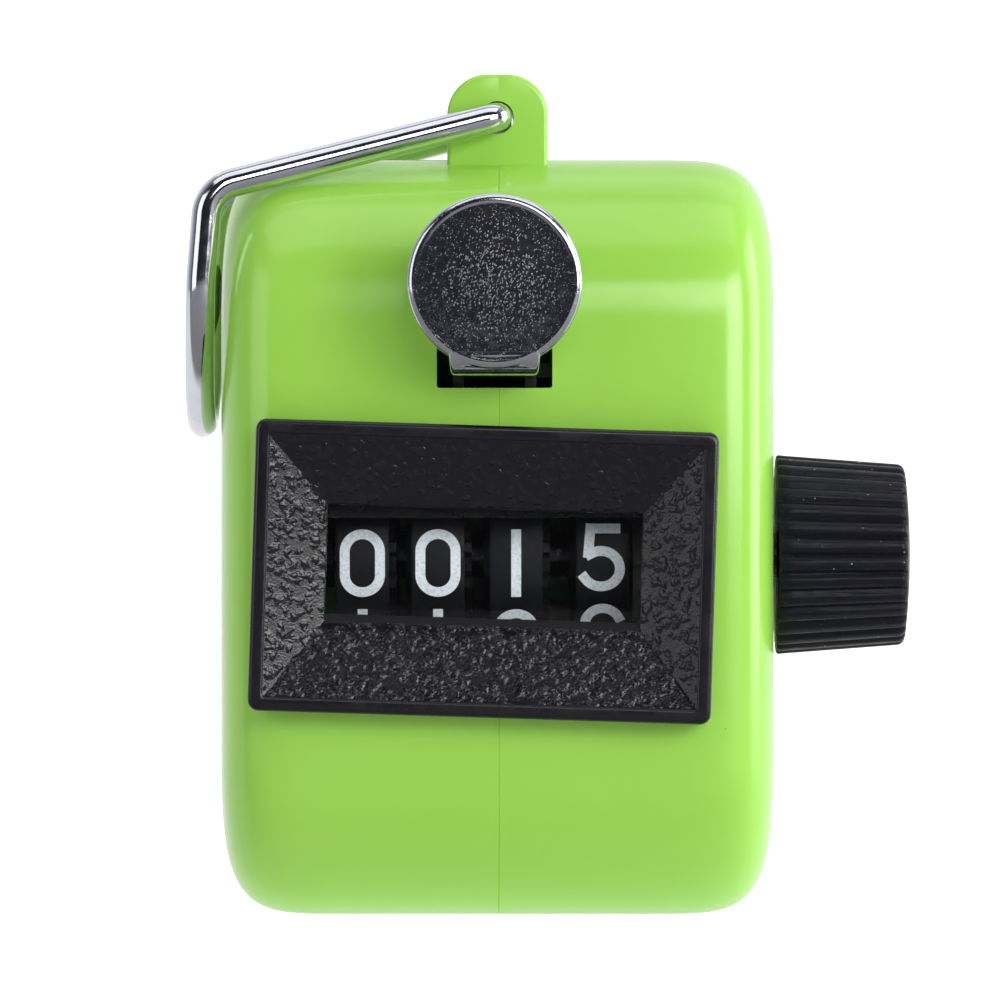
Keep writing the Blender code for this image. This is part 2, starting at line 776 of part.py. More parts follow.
def reset_knob(finish, parent):
    """Tapered ribbed knob with a domed end and a blind bore for the shaft."""
    half_rib = math.pi / KNOB_RIBS
    start = knob_start()
    end = start + KNOB_LENGTH
    edge_x = end - KNOB_DOME - KNOB_EDGE

    def ring(x, radius, depth):
        points = []
        for i in range(KNOB_RIBS):
            middle = math.tau * i / KNOB_RIBS
            points.append((x, *turn(radius, middle - half_rib * 0.62)))
            points.append((x, *turn(radius, middle + half_rib * 0.62)))
            points.append((x, *turn(radius - depth, middle + half_rib)))
        return points

    rings = [ring(start, KNOB_BASE_RADIUS, KNOB_RIB_DEPTH)]
    rings.append(ring(edge_x, KNOB_END_RADIUS, KNOB_RIB_DEPTH))
    for i in (1, 2):
        along, down = math.sin(math.pi / 4 * i), 1 - math.cos(math.pi / 4 * i)
        radius = KNOB_END_RADIUS - KNOB_EDGE * down
        depth = KNOB_RIB_DEPTH * (1 - i / 2)
        rings.append(ring(edge_x + KNOB_EDGE * along, radius, depth))
    rings.append(ring(end - KNOB_DOME * 0.25, KNOB_END_RADIUS * 0.5, 0.0))
    rings.append(ring(end, KNOB_END_RADIUS * 0.12, 0.0))
    bm = bmesh.new()
    loft(bm, rings)
    knob = piece("reset_knob", finish_mesh(bm, "reset_knob"), finish, parent)
    depth = start + KNOB_LENGTH * KNOB_BORE + SEAT_GAP
    bore = rod(start - CUT_OVER, depth, SHAFT_RADIUS + SEAT_GAP / 2)
    cut(knob, helper("knob_bore", finish_mesh(bore, "knob_bore"), parent))
    return knob


def pinion_shaft(finish, parent):
    reach = BODY_WIDTH / 2 - WALL * BORE_FLOOR - SEAT_GAP
    bm = rod(-reach, reach, PINION_SHAFT_RADIUS, 16)
    return piece("pinion_shaft", finish_mesh(bm, "pinion_shaft"), finish, parent)


# ---------------------------------------------------------------- click spring


def click_left():
    return ratchet_left() + (RATCHET_WIDTH - CLICK_WIDTH) / 2


def click_anchor():
    """Foot of the click spring, in front of and below the ratchet."""
    return CLICK_ANCHOR_Y, SHAFT_HEIGHT - RATCHET_RADIUS - CLICK_ANCHOR_DROP


def click_spring(finish):
    """Flat spring: a straight foot, a long lean and a nose under the ratchet."""
    y, z = click_anchor()
    nose_y = CLICK_NOSE_Y
    nose_z = SHAFT_HEIGHT - RATCHET_RADIUS - TOOTH_GAP - CLICK_THICKNESS
    half = CLICK_THICKNESS / 2
    middle = [
        Vector((y, z - CLICK_FOOT)),
        Vector((y, z + 1.6 * MM)),
        Vector((y + 0.5 * MM, z + 3.4 * MM)),
        Vector((nose_y - 1.6 * MM, nose_z - 0.9 * MM)),
        Vector((nose_y, nose_z)),
        Vector((nose_y + 1.2 * MM, nose_z - 0.5 * MM)),
    ]
    left, right = [], []
    for i, point in enumerate(middle):
        ahead = middle[min(i + 1, len(middle) - 1)] - middle[max(i - 1, 0)]
        normal = Vector((-ahead.y, ahead.x)).normalized() * half
        left.append(point + normal)
        right.append(point - normal)
    outline = [tuple(p) for p in left + right[::-1]]
    bm = along_x(outline, click_left(), click_left() + CLICK_WIDTH)
    return piece("click_spring", finish_mesh(bm, "click_spring"), finish)


# ---------------------------------------------------------------- thumb lever


def thumb_lever(finish, parent):
    """Pressed sheet: round thumb disc, neck, bend, arm, crossbar and pawl finger."""
    pin_y, pin_z = lever_axis_point()
    under = SHAFT_HEIGHT + ARM_UNDERSIDE - pin_z
    top = under + SHEET
    disc_back = -FRONT_DEPTH - DISC_STANDOFF - pin_y
    bend_y = disc_back + BEND_RADIUS
    arm = ARM_WIDTH / 2
    finger_left, finger_right = finger_span()
    finger_end = PAWL_PIVOT_Y + FINGER_OVERHANG - pin_y
    bar_front = -FRONT_DEPTH + WALL + CROSSBAR_GAP - pin_y
    bar_back = bar_front + CROSSBAR_DEPTH
    plan = [
        (LEVER_X - arm, bend_y),
        (LEVER_X + arm, bend_y),
        (LEVER_X + arm, bar_front),
        (finger_right, bar_front),
        (finger_right, finger_end),
        (finger_left, finger_end),
        (finger_left, bar_back),
        (LEVER_X - arm, bar_back),
    ]
    bm = bmesh.new()
    low = [bm.verts.new((x, y, under)) for x, y in plan]
    high = [bm.verts.new((x, y, top)) for x, y in plan]
    bm.faces.new(low)
    bm.faces.new(high)
    for i in range(1, len(plan)):
        j = (i + 1) % len(plan)
        bm.faces.new((low[i], low[j], high[j], high[i]))
    previous = (low[0], low[1], high[1], high[0])
    centre_z = top + BEND_RADIUS
    steps = 5
    neck_top = SHAFT_HEIGHT + DISC_HEIGHT - pin_z - DISC_RADIUS * 0.75
    stations = []
    for i in range(1, steps + 1):
        angle = math.pi / 2 * i / steps
        stations.append((math.sin(angle), math.cos(angle), ARM_WIDTH / 2, 0.0))
    stations.append((1.0, 0.0, NECK_WIDTH / 2, neck_top - centre_z))
    for forward, down, half, rise in stations:
        outer, inner = BEND_RADIUS + SHEET, BEND_RADIUS
        section = [
            (LEVER_X - half, bend_y - outer * forward, centre_z - outer * down + rise),
            (LEVER_X + half, bend_y - outer * forward, centre_z - outer * down + rise),
            (LEVER_X + half, bend_y - inner * forward, centre_z - inner * down + rise),
            (LEVER_X - half, bend_y - inner * forward, centre_z - inner * down + rise),
        ]
        ring = [bm.verts.new(point) for point in section]
        for i in range(4):
            j = (i + 1) % 4
            bm.faces.new((previous[i], previous[j], ring[j], ring[i]))
        previous = ring
    bm.faces.new(previous)
    lever = piece("thumb_lever", finish_mesh(bm, "thumb_lever"), finish, parent)
    disc = thumb_disc(disc_back)
    disc = moved(disc, (LEVER_X, 0, SHAFT_HEIGHT + DISC_HEIGHT - pin_z))
    fuse(lever, helper("lever_disc", finish_mesh(disc, "lever_disc"), parent))
    ears = merge(*[lever_ear(side, under) for side in (-1, 1)], pawl_tab(under))
    fuse(lever, helper("lever_ears", finish_mesh(ears, "lever_ears"), parent))
    pin_hole = rod(
        LEVER_X - 5 * MM, LEVER_X + 5 * MM, LEVER_PIN_RADIUS + RUN_GAP, 16
    )
    tab_x, tab_end = tab_span()
    rivet_hole = moved(
        rod(tab_x - SEAT_GAP / 3, tab_end + CUT_OVER, PAWL_PIN_RADIUS + SEAT_GAP / 2, 16),
        pawl_offset(),
    )
    holes = merge(pin_hole, rivet_hole)
    cut(lever, helper("lever_holes", finish_mesh(holes, "lever_holes"), parent))
    return lever


def thumb_disc(back):
    """Round disc with a rolled front edge, standing on its back plane at Y = back."""
    facets = 40
    angles = [math.tau * i / facets for i in range(facets)]
    edge = 0.55 * MM
    stations = [(0.1 * MM, DISC_RADIUS - 0.15 * MM), (-0.2 * MM, DISC_RADIUS)]
    for i in (1, 2, 3):
        angle = math.pi / 6 * i
        drop = edge * (1 - math.cos(angle))
        stations.append(
            (-(SHEET - edge) - edge * math.sin(angle), DISC_RADIUS - drop)
        )
    stations.append((-SHEET - 0.12 * MM, DISC_RADIUS - 1.6 * MM))
    rings = []
    for depth, radius in stations:
        rings.append(
            [
                (radius * math.cos(a), back + depth, radius * math.sin(a))
                for a in angles
            ]
        )
    bm = bmesh.new()
    loft(bm, rings)
    return bm


def lever_ear(side, under):
    """One of the two ears bent down from the arm round the lever's pin."""
    rise = under + SHEET / 2
    outline = [(-EAR_RADIUS, rise), (-EAR_RADIUS, 0.0)]
    for i in range(1, 8):
        outline.append(turn(EAR_RADIUS, math.pi + math.pi * i / 8))
    outline += [(EAR_RADIUS, 0.0), (EAR_RADIUS, rise)]
    middle = LEVER_X + side * EAR_SPREAD
    return along_x(outline, middle - EAR_THICKNESS / 2, middle + EAR_THICKNESS / 2)


def tab_span():
    """X of the tab that carries the pawl, right of the pawl itself."""
    start = pawl_left() + PAWL_WIDTH + SIDE_GAP
    return start, start + EAR_THICKNESS


def finger_span():
    _, tab_end = tab_span()
    return pawl_left() - 0.4 * MM, tab_end + 0.05 * MM


def pawl_left():
    return ratchet_left() + (RATCHET_WIDTH - PAWL_WIDTH) / 2


def pawl_offset():
    pin_y, pin_z = lever_axis_point()
    return 0, PAWL_PIVOT_Y - pin_y, SHAFT_HEIGHT + PAWL_PIVOT_RISE - pin_z


def pawl_tab(under):
    _, y, z = pawl_offset()
    radius = PAWL_PIN_RADIUS + 0.7 * MM
    rise = under + SHEET / 2
    outline = [(y - radius, rise), (y - radius, z)]
    for i in range(1, 6):
        across, up = turn(radius, math.pi + math.pi * i / 6)
        outline.append((y + across, z + up))
    outline += [(y + radius, z), (y + radius, rise)]
    start, end = tab_span()
    return along_x(outline, start, end)


def lever_pin(finish, parent):
    reach = BODY_WIDTH / 2 - WALL * BORE_FLOOR - SEAT_GAP
    bm = rod(-reach, reach, LEVER_PIN_RADIUS, 16)
    return piece("lever_pin", finish_mesh(bm, "lever_pin"), finish, parent)


def lever_spring(finish, parent):
    """Torsion spring wound on the lever's pin, between the two ears."""
    wire = 0.18 * MM
    coil = LEVER_PIN_RADIUS + SEAT_GAP + wire
    turns, per_turn = 4, 10
    room = EAR_SPREAD - EAR_THICKNESS / 2 - SIDE_GAP - wire
    count = turns * per_turn
    points = [(LEVER_X - room, coil + 0.2 * MM, -3.0 * MM)]
    for i in range(count + 1):
        y, z = turn(coil, math.tau * i / per_turn)
        points.append((LEVER_X - room + 2 * room * i / count, y, z))
    points.append((LEVER_X + room, coil + 0.2 * MM, -2.4 * MM))
    curve = bpy.data.curves.new("lever_spring", "CURVE")
    curve.dimensions = "3D"
    curve.bevel_depth = wire
    curve.bevel_resolution = 0
    curve.use_fill_caps = True
    spline = curve.splines.new("POLY")
    spline.points.add(len(points) - 1)
    for point, place in zip(spline.points, points):
        point.co = (*place, 1.0)
    curve.materials.append(finish)
    spring = bpy.data.objects.new("lever_spring", curve)
    spring.parent = parent
    bpy.context.collection.objects.link(spring)
    return spring


def drive_pawl(finish, parent):
    """Hook that hangs from the lever's finger; its nose drives the ratchet down."""
    fall = PAWL_PIVOT_RISE - PAWL_NOSE_RISE
    nose_y = RATCHET_RADIUS + TOOTH_GAP - PAWL_PIVOT_Y
    leg_y = nose_y + 1.0 * MM
    eye = PAWL_PIN_RADIUS + PAWL_EYE_WALL
    outline = [turn(eye, math.radians(a)) for a in (20, 55, 90, 125, 160, 195, 230)]
    outline += [
        (leg_y - 0.35 * MM, -eye - 1.2 * MM),
        (leg_y, -fall + 2.6 * MM),
        (leg_y, -fall + 1.3 * MM),
        (nose_y, -fall),
        (nose_y + 0.7 * MM, -fall - 0.5 * MM),
        (leg_y + PAWL_LEG, -fall + 0.5 * MM),
        (leg_y + PAWL_LEG, -fall + 2.8 * MM),
        (leg_y + PAWL_LEG * 0.7, -eye - 0.8 * MM),
    ]
    bore = circle(PAWL_PIN_RADIUS + RUN_GAP, 12)
    bm = flat_ring(outline, bore, 0.0, PAWL_WIDTH)
    mesh = finish_mesh(bm, "drive_pawl")
    return piece("drive_pawl", mesh, finish, parent, (pawl_left(), 0, 0))


def pawl_rivet(finish, parent):
    """Rivet through the pawl and the lever's tab, headed on the pawl's side."""
    _, tab_end = tab_span()
    left = pawl_left() - SEAT_GAP / 2
    right = tab_end + SEAT_GAP
    stations = [
        (left - RIVET_HEAD, PAWL_PIN_RADIUS + RIVET_LIP / 2),
        (left - RIVET_HEAD / 2, PAWL_PIN_RADIUS + RIVET_LIP),
        (left, PAWL_PIN_RADIUS + RIVET_LIP),
        (left, PAWL_PIN_RADIUS),
        (right, PAWL_PIN_RADIUS),
    ]
    mesh = finish_mesh(turned_solid(stations, 12), "pawl_rivet")
    return piece("pawl_rivet", mesh, finish, parent)


# ---------------------------------------------------------------- bezel and lens


def window_bounds(grow):
    """Window opening in the bezel's own plane, (x, z), grown all round."""
    half_x = WINDOW_WIDTH / 2 + grow
    half_z = WINDOW_TALL / 2 + grow
    return (-half_x, WINDOW_LIFT - half_z), (half_x, WINDOW_LIFT + half_z)


def bezel(finish, parent):
    """Frame with a raised rim, four mitred panels down to the window, and a skirt."""
    half_x, half_z = BEZEL_WIDTH / 2, BEZEL_TALL / 2

    def outer(inset):
        return (-half_x + inset, -half_z + inset), (half_x - inset, half_z - inset)

    window_low, window_high = window_bounds(0.0)
    ledge = ((window_low[0], window_low[1] + WINDOW_LEDGE), window_high)
    seat = window_bounds(LENS_MARGIN)
    skirt = window_bounds(LENS_MARGIN + SKIRT_WALL)
    front = -BEZEL_PROUD
    sill = front + WINDOW_SINK
    stations = [
        (outer(0.0), -SEAT_GAP, BEZEL_CORNER),
        (outer(0.0), front + 0.35 * MM, BEZEL_CORNER),
        (outer(0.1 * MM), front + 0.1 * MM, BEZEL_CORNER),
        (outer(0.35 * MM), front, BEZEL_CORNER),
        (outer(BEZEL_RIM - 0.1 * MM), front, 0.3 * MM),
        (outer(BEZEL_RIM + 0.1 * MM), front + 0.12 * MM, 0.2 * MM),
        ((window_low, window_high), sill, 0.1 * MM),
        (ledge, sill + 0.3 * MM, 0.1 * MM),
        (ledge, 0.2 * MM, 0.1 * MM),
        (seat, 0.2 * MM, 0.1 * MM),
        (seat, WALL, 0.1 * MM),
        (skirt, WALL, 0.3 * MM),
        (skirt, -SEAT_GAP, 0.3 * MM),
    ]
    bm = bmesh.new()
    rings = []
    for (low, high), y, radius in stations:
        outline = rounded_box_outline(low, high, [radius] * 4, 3)
        rings.append([(x, y, z) for x, z in outline])
    loft(bm, rings, closed=True)
    return piece("bezel", finish_mesh(bm, "bezel"), finish, parent)


def window_lens(finish, parent):
    """Clear plate in the bezel's rebate, held against the window's ledge."""
    low, high = window_bounds(LENS_MARGIN - SEAT_GAP)
    outline = rounded_box_outline(low, high, [0.4 * MM] * 4, 2)
    start = 0.2 * MM + SEAT_GAP
    bm = along_y(outline, start, start + LENS_THICKNESS)
    return piece("window_lens", finish_mesh(bm, "window_lens"), finish, parent)


# ---------------------------------------------------------------- screws and ring


def case_screws(finish):
    """Three pan-head screws, put in from the left and driven into the right half."""
    head = screw_head_x() - SEAT_GAP
    tip = screw_head_x() + SCREW_LENGTH
    stations = [
        (head - SCREW_HEAD_HEIGHT, SCREW_HEAD_RADIUS * 0.55),
        (head - SCREW_HEAD_HEIGHT * 0.6, SCREW_HEAD_RADIUS * 0.9),
        (head - SCREW_HEAD_HEIGHT * 0.2, SCREW_HEAD_RADIUS),
        (head, SCREW_HEAD_RADIUS),
        (head, SCREW_RADIUS),
        (tip - 1.2 * MM, SCREW_RADIUS),
        (tip, SCREW_RADIUS * 0.4),
    ]
    mesh = finish_mesh(turned_solid(stations, 14), "case_screw")
    names = ("screw_lower_front", "screw_lower_back", "screw_upper_back")
    for name, (y, z) in zip(names, screw_places()):
        piece(name, mesh, finish, None, (0, y, z))


def ring_route():
    """Points of the wire ring's middle line, from one turned-in end to the other."""
    middle_y = LUG_FRONT + LUG_DEPTH / 2
    leg_y = LUG_DEPTH / 2 + RING_HOLE_GAP * 2 + WIRE_RADIUS
    side_x = -(BODY_WIDTH / 2 + RING_SIDE_GAP + WIRE_RADIUS)
    reach = -side_x - RING_SHOULDER_INSET
    shoulder = Vector((-reach, -RING_LOOP_RADIUS, -RING_SHOULDER_DROP))
    loop_z = -RING_LENGTH + RING_LOOP_RADIUS
    loop_top = Vector((side_x + RING_LEG_SPLAY, -RING_LOOP_RADIUS, loop_z))
    eye = Vector((0.0, -leg_y, 0.0))
    inside = Vector((0.0, -leg_y + WIRE_RADIUS + RING_STUB, 0.0))
    front = [inside]
    front += rounded_turn(inside, eye, shoulder, RING_EYE_BEND, 4)
    front += rounded_turn(eye, shoulder, loop_top, RING_BEND_RADIUS, 6)
    front.append(loop_top)
    steps = 18
    loop = []
    for i in range(1, steps):
        angle = math.pi * i / steps
        along, down = -math.cos(angle), math.sin(angle)
        x = side_x + RING_LEG_SPLAY * (1 - down)
        loop.append(
            Vector((x, RING_LOOP_RADIUS * along, loop_z - RING_LOOP_RADIUS * down))
        )
    back = [Vector((p.x, -p.y, p.z)) for p in reversed(front)]
    return [p + Vector((0, middle_y, 0)) for p in front + loop + back]


def rounded_turn(before, corner, after, radius, steps):
    """Points of the arc that rounds the corner between two straight runs."""
    into = (before - corner).normalized()
    out = (after - corner).normalized()
    half = into.angle(out) / 2
    setback = radius / math.tan(half)
    centre = corner + (into + out).normalized() * (radius / math.sin(half))
    first = corner + into * setback - centre
    last = corner + out * setback - centre
    sweep = first.angle(last)
    across = (last - first * math.cos(sweep)) / math.sin(sweep)
    angles = [sweep * i / steps for i in range(steps + 1)]
    return [centre + first * math.cos(a) + across * math.sin(a) for a in angles]


def wire_ring(finish, parent):
    curve = bpy.data.curves.new("wire_ring", "CURVE")
    curve.dimensions = "3D"
    curve.bevel_depth = WIRE_RADIUS
    curve.bevel_resolution = 3
    curve.use_fill_caps = True
    route = ring_route()
    spline = curve.splines.new("POLY")
    spline.points.add(len(route) - 1)
    for point, place in zip(spline.points, route):
        point.co = (*place, 1.0)
    curve.materials.append(finish)
    ring = bpy.data.objects.new("wire_ring", curve)
    ring.parent = parent
    bpy.context.collection.objects.link(ring)
    return ring


# ---------------------------------------------------------------- assembly


def build():
    clear_scene()
    green = plastic("green_abs", (0.33, 0.62, 0.09), 0.22)
    black = plastic("black_abs", (0.012, 0.012, 0.014), 0.42)
    clear = plastic("clear_acrylic", (0.9, 0.92, 0.93), 0.05)
    chrome = metal("chrome", (0.82, 0.82, 0.84), 0.08)
    steel = metal("bright_steel", (0.6, 0.6, 0.61), 0.28)
    white = plastic("white_acetal", (0.82, 0.82, 0.78), 0.45)

    left = half_case("left_case", -1, green)
    right = half_case("right_case", 1, green)
    cut_case(left, right)

    shaft_axis = axis_empty("shaft_axis", (0, 0, SHAFT_HEIGHT))
    main_shaft(steel, shaft_axis)
    shaft_clip(steel, shaft_axis)
    reset_knob(black, shaft_axis)
    number_wheel("thousands_wheel", black, shaft_axis, True, False)
    number_wheel("hundreds_wheel", black, shaft_axis, True, True)
    number_wheel("tens_wheel", black, shaft_axis, True, True)
    number_wheel("units_wheel", black, shaft_axis, False, True)
    units_ratchet(white, shaft_axis)

    pinions = axis_empty("pinion_axis", (0, *pinion_axis()))
    pinion_shaft(steel, pinions)
    names = list(WHEEL_CENTRES)
    for left_wheel, right_wheel in zip(names, names[1:]):
        name = right_wheel.replace("wheel", "pinion")
        transfer_pinion(name, left_wheel, right_wheel, white, pinions)

    lever_axis = axis_empty("lever_axis", (0, *lever_axis_point()))
    thumb_lever(chrome, lever_axis)
    lever_pin(steel, lever_axis)
    lever_spring(steel, lever_axis)
    pawl_axis = axis_empty("pawl_axis", pawl_offset())
    pawl_axis.parent = lever_axis
    drive_pawl(steel, pawl_axis)
    pawl_rivet(steel, pawl_axis)
    click_spring(steel)

    bezel_seat = axis_empty(
        "bezel_seat", (BEZEL_X, -FRONT_DEPTH, SHAFT_HEIGHT + BEZEL_RISE)
    )
    bezel_seat.rotation_euler = (0, BEZEL_TILT, 0)
    bezel(black, bezel_seat)
    window_lens(clear, bezel_seat)

    case_screws(steel)
    ring_axis = axis_empty("ring_axis", (0, 0, ear_hole()))
    wire_ring(chrome, ring_axis)


build()
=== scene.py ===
"""Hand tally counter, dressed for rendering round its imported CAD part.

The object stands on the floor with its window to the front (-Y) and its knob to the right (+X).
Sections follow the counter as it is put together, from the case to the wire ring and the studio.
"""

import math

import bmesh
import bpy
from mathutils import Matrix, Vector


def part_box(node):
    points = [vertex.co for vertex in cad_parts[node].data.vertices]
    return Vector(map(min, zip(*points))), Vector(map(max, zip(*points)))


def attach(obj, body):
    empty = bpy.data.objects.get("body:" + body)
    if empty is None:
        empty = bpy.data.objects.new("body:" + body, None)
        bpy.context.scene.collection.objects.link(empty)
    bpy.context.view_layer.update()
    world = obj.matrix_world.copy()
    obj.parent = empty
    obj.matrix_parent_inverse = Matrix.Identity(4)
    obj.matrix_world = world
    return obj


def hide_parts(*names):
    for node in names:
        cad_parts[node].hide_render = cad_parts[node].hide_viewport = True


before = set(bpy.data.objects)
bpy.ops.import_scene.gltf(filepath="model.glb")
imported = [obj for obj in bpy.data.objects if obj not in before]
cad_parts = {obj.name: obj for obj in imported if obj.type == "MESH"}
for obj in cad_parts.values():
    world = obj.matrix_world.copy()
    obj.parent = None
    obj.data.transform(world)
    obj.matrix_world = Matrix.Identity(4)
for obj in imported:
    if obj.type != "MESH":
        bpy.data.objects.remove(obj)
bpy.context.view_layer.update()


# ------------------------------------------------------------------ case halves
# Two halves of glossy green ABS, injection moulded, that meet on a seam down the middle and are
# screwed together from the left. Each carries half of the ear for the ring and half of the lever
# slot; tubes inside take the screws, and a hole in the right half takes the counter shaft.

MM = 0.001
GREEN = (0.315, 0.640, 0.082)
CASE_HALF_WIDTH = 19.8 * MM
CASE_TOP = 54.2 * MM
CASE_WALL = 1.8 * MM
CASE_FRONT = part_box("right_case")[0].y
CASE_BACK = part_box("right_case")[1].y
BOTTOM_ROUND = 11.0 * MM
TOP_FRONT_ROUND = 12.0 * MM
TOP_BACK_ROUND = 16.0 * MM
SIDE_SOFTNESS = 5.0  # power of the curve that rolls the front over into the side
SIDE_ROLL_IN = 10.0 * MM
SIDE_ROLL_DOWN = 16.0 * MM
SIDE_FLAT = 10.6 * MM  # inset at which the side is flat
SEAM_MIDDLE = 0.1 * MM
SEAM_BEVEL = 0.05 * MM
EAR_WIDTH = 7.2 * MM
EAR_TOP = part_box("right_case")[1].z
EAR_FRONT = -5.0 * MM
EAR_BACK = 6.0 * MM
EAR_ROUND = 2.9 * MM
EAR_EDGE = 0.35 * MM
EAR_HOLE_RADIUS = 1.17 * MM
EAR_HOLE_HEIGHT = 57.1 * MM
SHAFT_HEIGHT = 25.8 * MM
SHAFT_HOLE = 1.76 * MM
SLOT_LEFT, SLOT_RIGHT = -4.27 * MM, 3.87 * MM
SLOT_BOTTOM, SLOT_TOP = 37.62 * MM, 40.54 * MM
SCREW_SEAT = -12.28 * MM  # where the heads sit, deep in the left half
SCREW_HOLE = 1.15 * MM
SCREW_HEAD_HOLE = 2.05 * MM
SCREW_TUBE = 2.9 * MM
SCREW_LENGTH = 14.0 * MM
SCREWS = {
    name: (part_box(name)[0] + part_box(name)[1]) / 2
    for name in ("screw_lower_front", "screw_lower_back", "screw_upper_back")
}


def quarter_turn(steps, first=0):
    """Angles from nothing to a right angle in even steps."""
    return [math.pi / 2 * i / steps for i in range(first, steps + 1)]


def rounded_box(low, high, rounds, steps):
    """Closed (u, v) outline; rounds are at low u low v, high u low v, high u high v, low u high v."""
    corners = (
        (low[0], low[1], 180.0),
        (high[0], low[1], 270.0),
        (high[0], high[1], 0.0),
        (low[0], high[1], 90.0),
    )
    outline = []
    for (u, v, start), radius in zip(corners, rounds):
        middle_u = u + radius if u == low[0] else u - radius
        middle_v = v + radius if v == low[1] else v - radius
        for i in range(steps + 1):
            angle = math.radians(start + 90.0 * i / steps)
            outline.append((middle_u + radius * math.cos(angle), middle_v + radius * math.sin(angle)))
    return outline


def side_outline(inset, steps):
    """The case seen from the side, (y, z), drawn in by inset."""
    rounds = [max(r - inset, 0.15 * MM)
              for r in (BOTTOM_ROUND, BOTTOM_ROUND, TOP_BACK_ROUND, TOP_FRONT_ROUND)]
    return rounded_box((CASE_FRONT + inset, inset), (CASE_BACK - inset, CASE_TOP - inset), rounds, steps)


def skin(bm, rings, closed=False):
    """Joins rings of equal point count with quads."""
    loops = [[bm.verts.new(point) for point in ring] for ring in rings]
    pairs = list(zip(loops, loops[1:])) + ([(loops[-1], loops[0])] if closed else [])
    faces = []
    for near, far in pairs:
        for i in range(len(near)):
            faces.append(bm.faces.new((near[i - 1], near[i], far[i], far[i - 1])))
    if not closed:
        bm.faces.new(loops[0])
        bm.faces.new(loops[-1])
    return faces


def as_mesh(bm, name, sharp_angle=32.0):
    bmesh.ops.recalc_face_normals(bm, faces=bm.faces)
    mesh = bpy.data.meshes.new(name)
    bm.to_mesh(mesh)
    bm.free()
    mesh.shade_smooth()
    mesh.set_sharp_from_angle(angle=math.radians(sharp_angle))
    return mesh


def as_object(mesh, name):
    obj = bpy.data.objects.new(name, mesh)
    bpy.context.scene.collection.objects.link(obj)
    return obj


def carve(obj, tool_mesh, operation, sharp_angle=32.0):
    """Cuts or joins with a Boolean and keeps the result as the object's own mesh."""
    tool = as_object(tool_mesh, obj.name + "_tool")
    step = obj.modifiers.new("carve", "BOOLEAN")
    step.operation = operation
    step.solver = "EXACT"
    step.object = tool
    bpy.context.view_layer.update()
    result = bpy.data.meshes.new_from_object(obj.evaluated_get(bpy.context.evaluated_depsgraph_get()))
    obj.modifiers.clear()
    obj.data = result
    obj.data.shade_smooth()
    obj.data.set_sharp_from_angle(angle=math.radians(sharp_angle))
    bpy.data.objects.remove(tool)


def tube_along_x(bm, places, y, z, sides=48):
    """Solid of revolution about a line along X, through (x, radius) places."""
    angles = [math.tau * i / sides for i in range(sides)]
    skin(bm, [[(x, y + r * math.cos(a), z + r * math.sin(a)) for a in angles] for x, r in places])


def prism_along_y(bm, outline, start, end):
    skin(bm, [[(x, y, z) for x, z in outline] for y in (start, end)])


def case_shell(side):
    """Outer skin, seam edge and inner skin of one half, as one closed shell."""
    seam = SEAM_MIDDLE
    outer = [(seam, SEAM_BEVEL), (seam + side * SEAM_BEVEL, 0.0)]
    steps = 44
    last = math.acos((1.0 - SIDE_FLAT / SIDE_ROLL_DOWN) ** (SIDE_SOFTNESS / 2))
    for i in range(steps + 1):
        angle = last * i / steps
        across = math.sin(angle) ** (2 / SIDE_SOFTNESS)
        down = 1.0 - math.cos(angle) ** (2 / SIDE_SOFTNESS)
        outer.append((side * (CASE_HALF_WIDTH - SIDE_ROLL_IN * (1 - across)), SIDE_ROLL_DOWN * down))
    inner = [(seam, CASE_WALL)]
    for x, inset in outer[2::4]:
        if inset < SIDE_FLAT - CASE_WALL - 1.0 * MM:
            inner.append((x - side * CASE_WALL, inset + CASE_WALL))
    rings = list(reversed(inner)) + outer
    bm = bmesh.new()
    skin(bm, [[(x, y, z) for y, z in side_outline(inset, 20)] for x, inset in rings])
    return bm


def ear_half(bm, side):
    """Half of the ear, with rounded front and back edges."""
    root = CASE_TOP - CASE_WALL * 0.7
    places = [(EAR_FRONT + EAR_EDGE * (1 - math.cos(angle)), EAR_EDGE * (1 - math.sin(angle)))
              for angle in quarter_turn(6)]
    places += [(EAR_FRONT + EAR_BACK - y, inset) for y, inset in reversed(places)]
    rings = []
    for y, inset in places:
        half, top, radius = EAR_WIDTH / 2 - inset, EAR_TOP - inset, EAR_ROUND - inset
        ring = [(SEAM_MIDDLE, y, root), (side * half, y, root)]
        for angle in quarter_turn(16):
            ring.append((side * (half - radius + radius * math.cos(angle)), y,
                         top - radius + radius * math.sin(angle)))
        ring += [(SEAM_MIDDLE + side * SEAM_BEVEL, y, top), (SEAM_MIDDLE, y, top - SEAM_BEVEL)]
        rings.append(ring)
    skin(bm, rings)


def case_tubes(bm, side):
    """Tubes inside the half, before they are bored."""
    wall = side * (CASE_HALF_WIDTH - CASE_WALL * 0.7)
    for place in SCREWS.values():
        tube_along_x(bm, [(SEAM_MIDDLE + side * 0.4 * MM, SCREW_TUBE), (wall, SCREW_TUBE)], place.y, place.z)


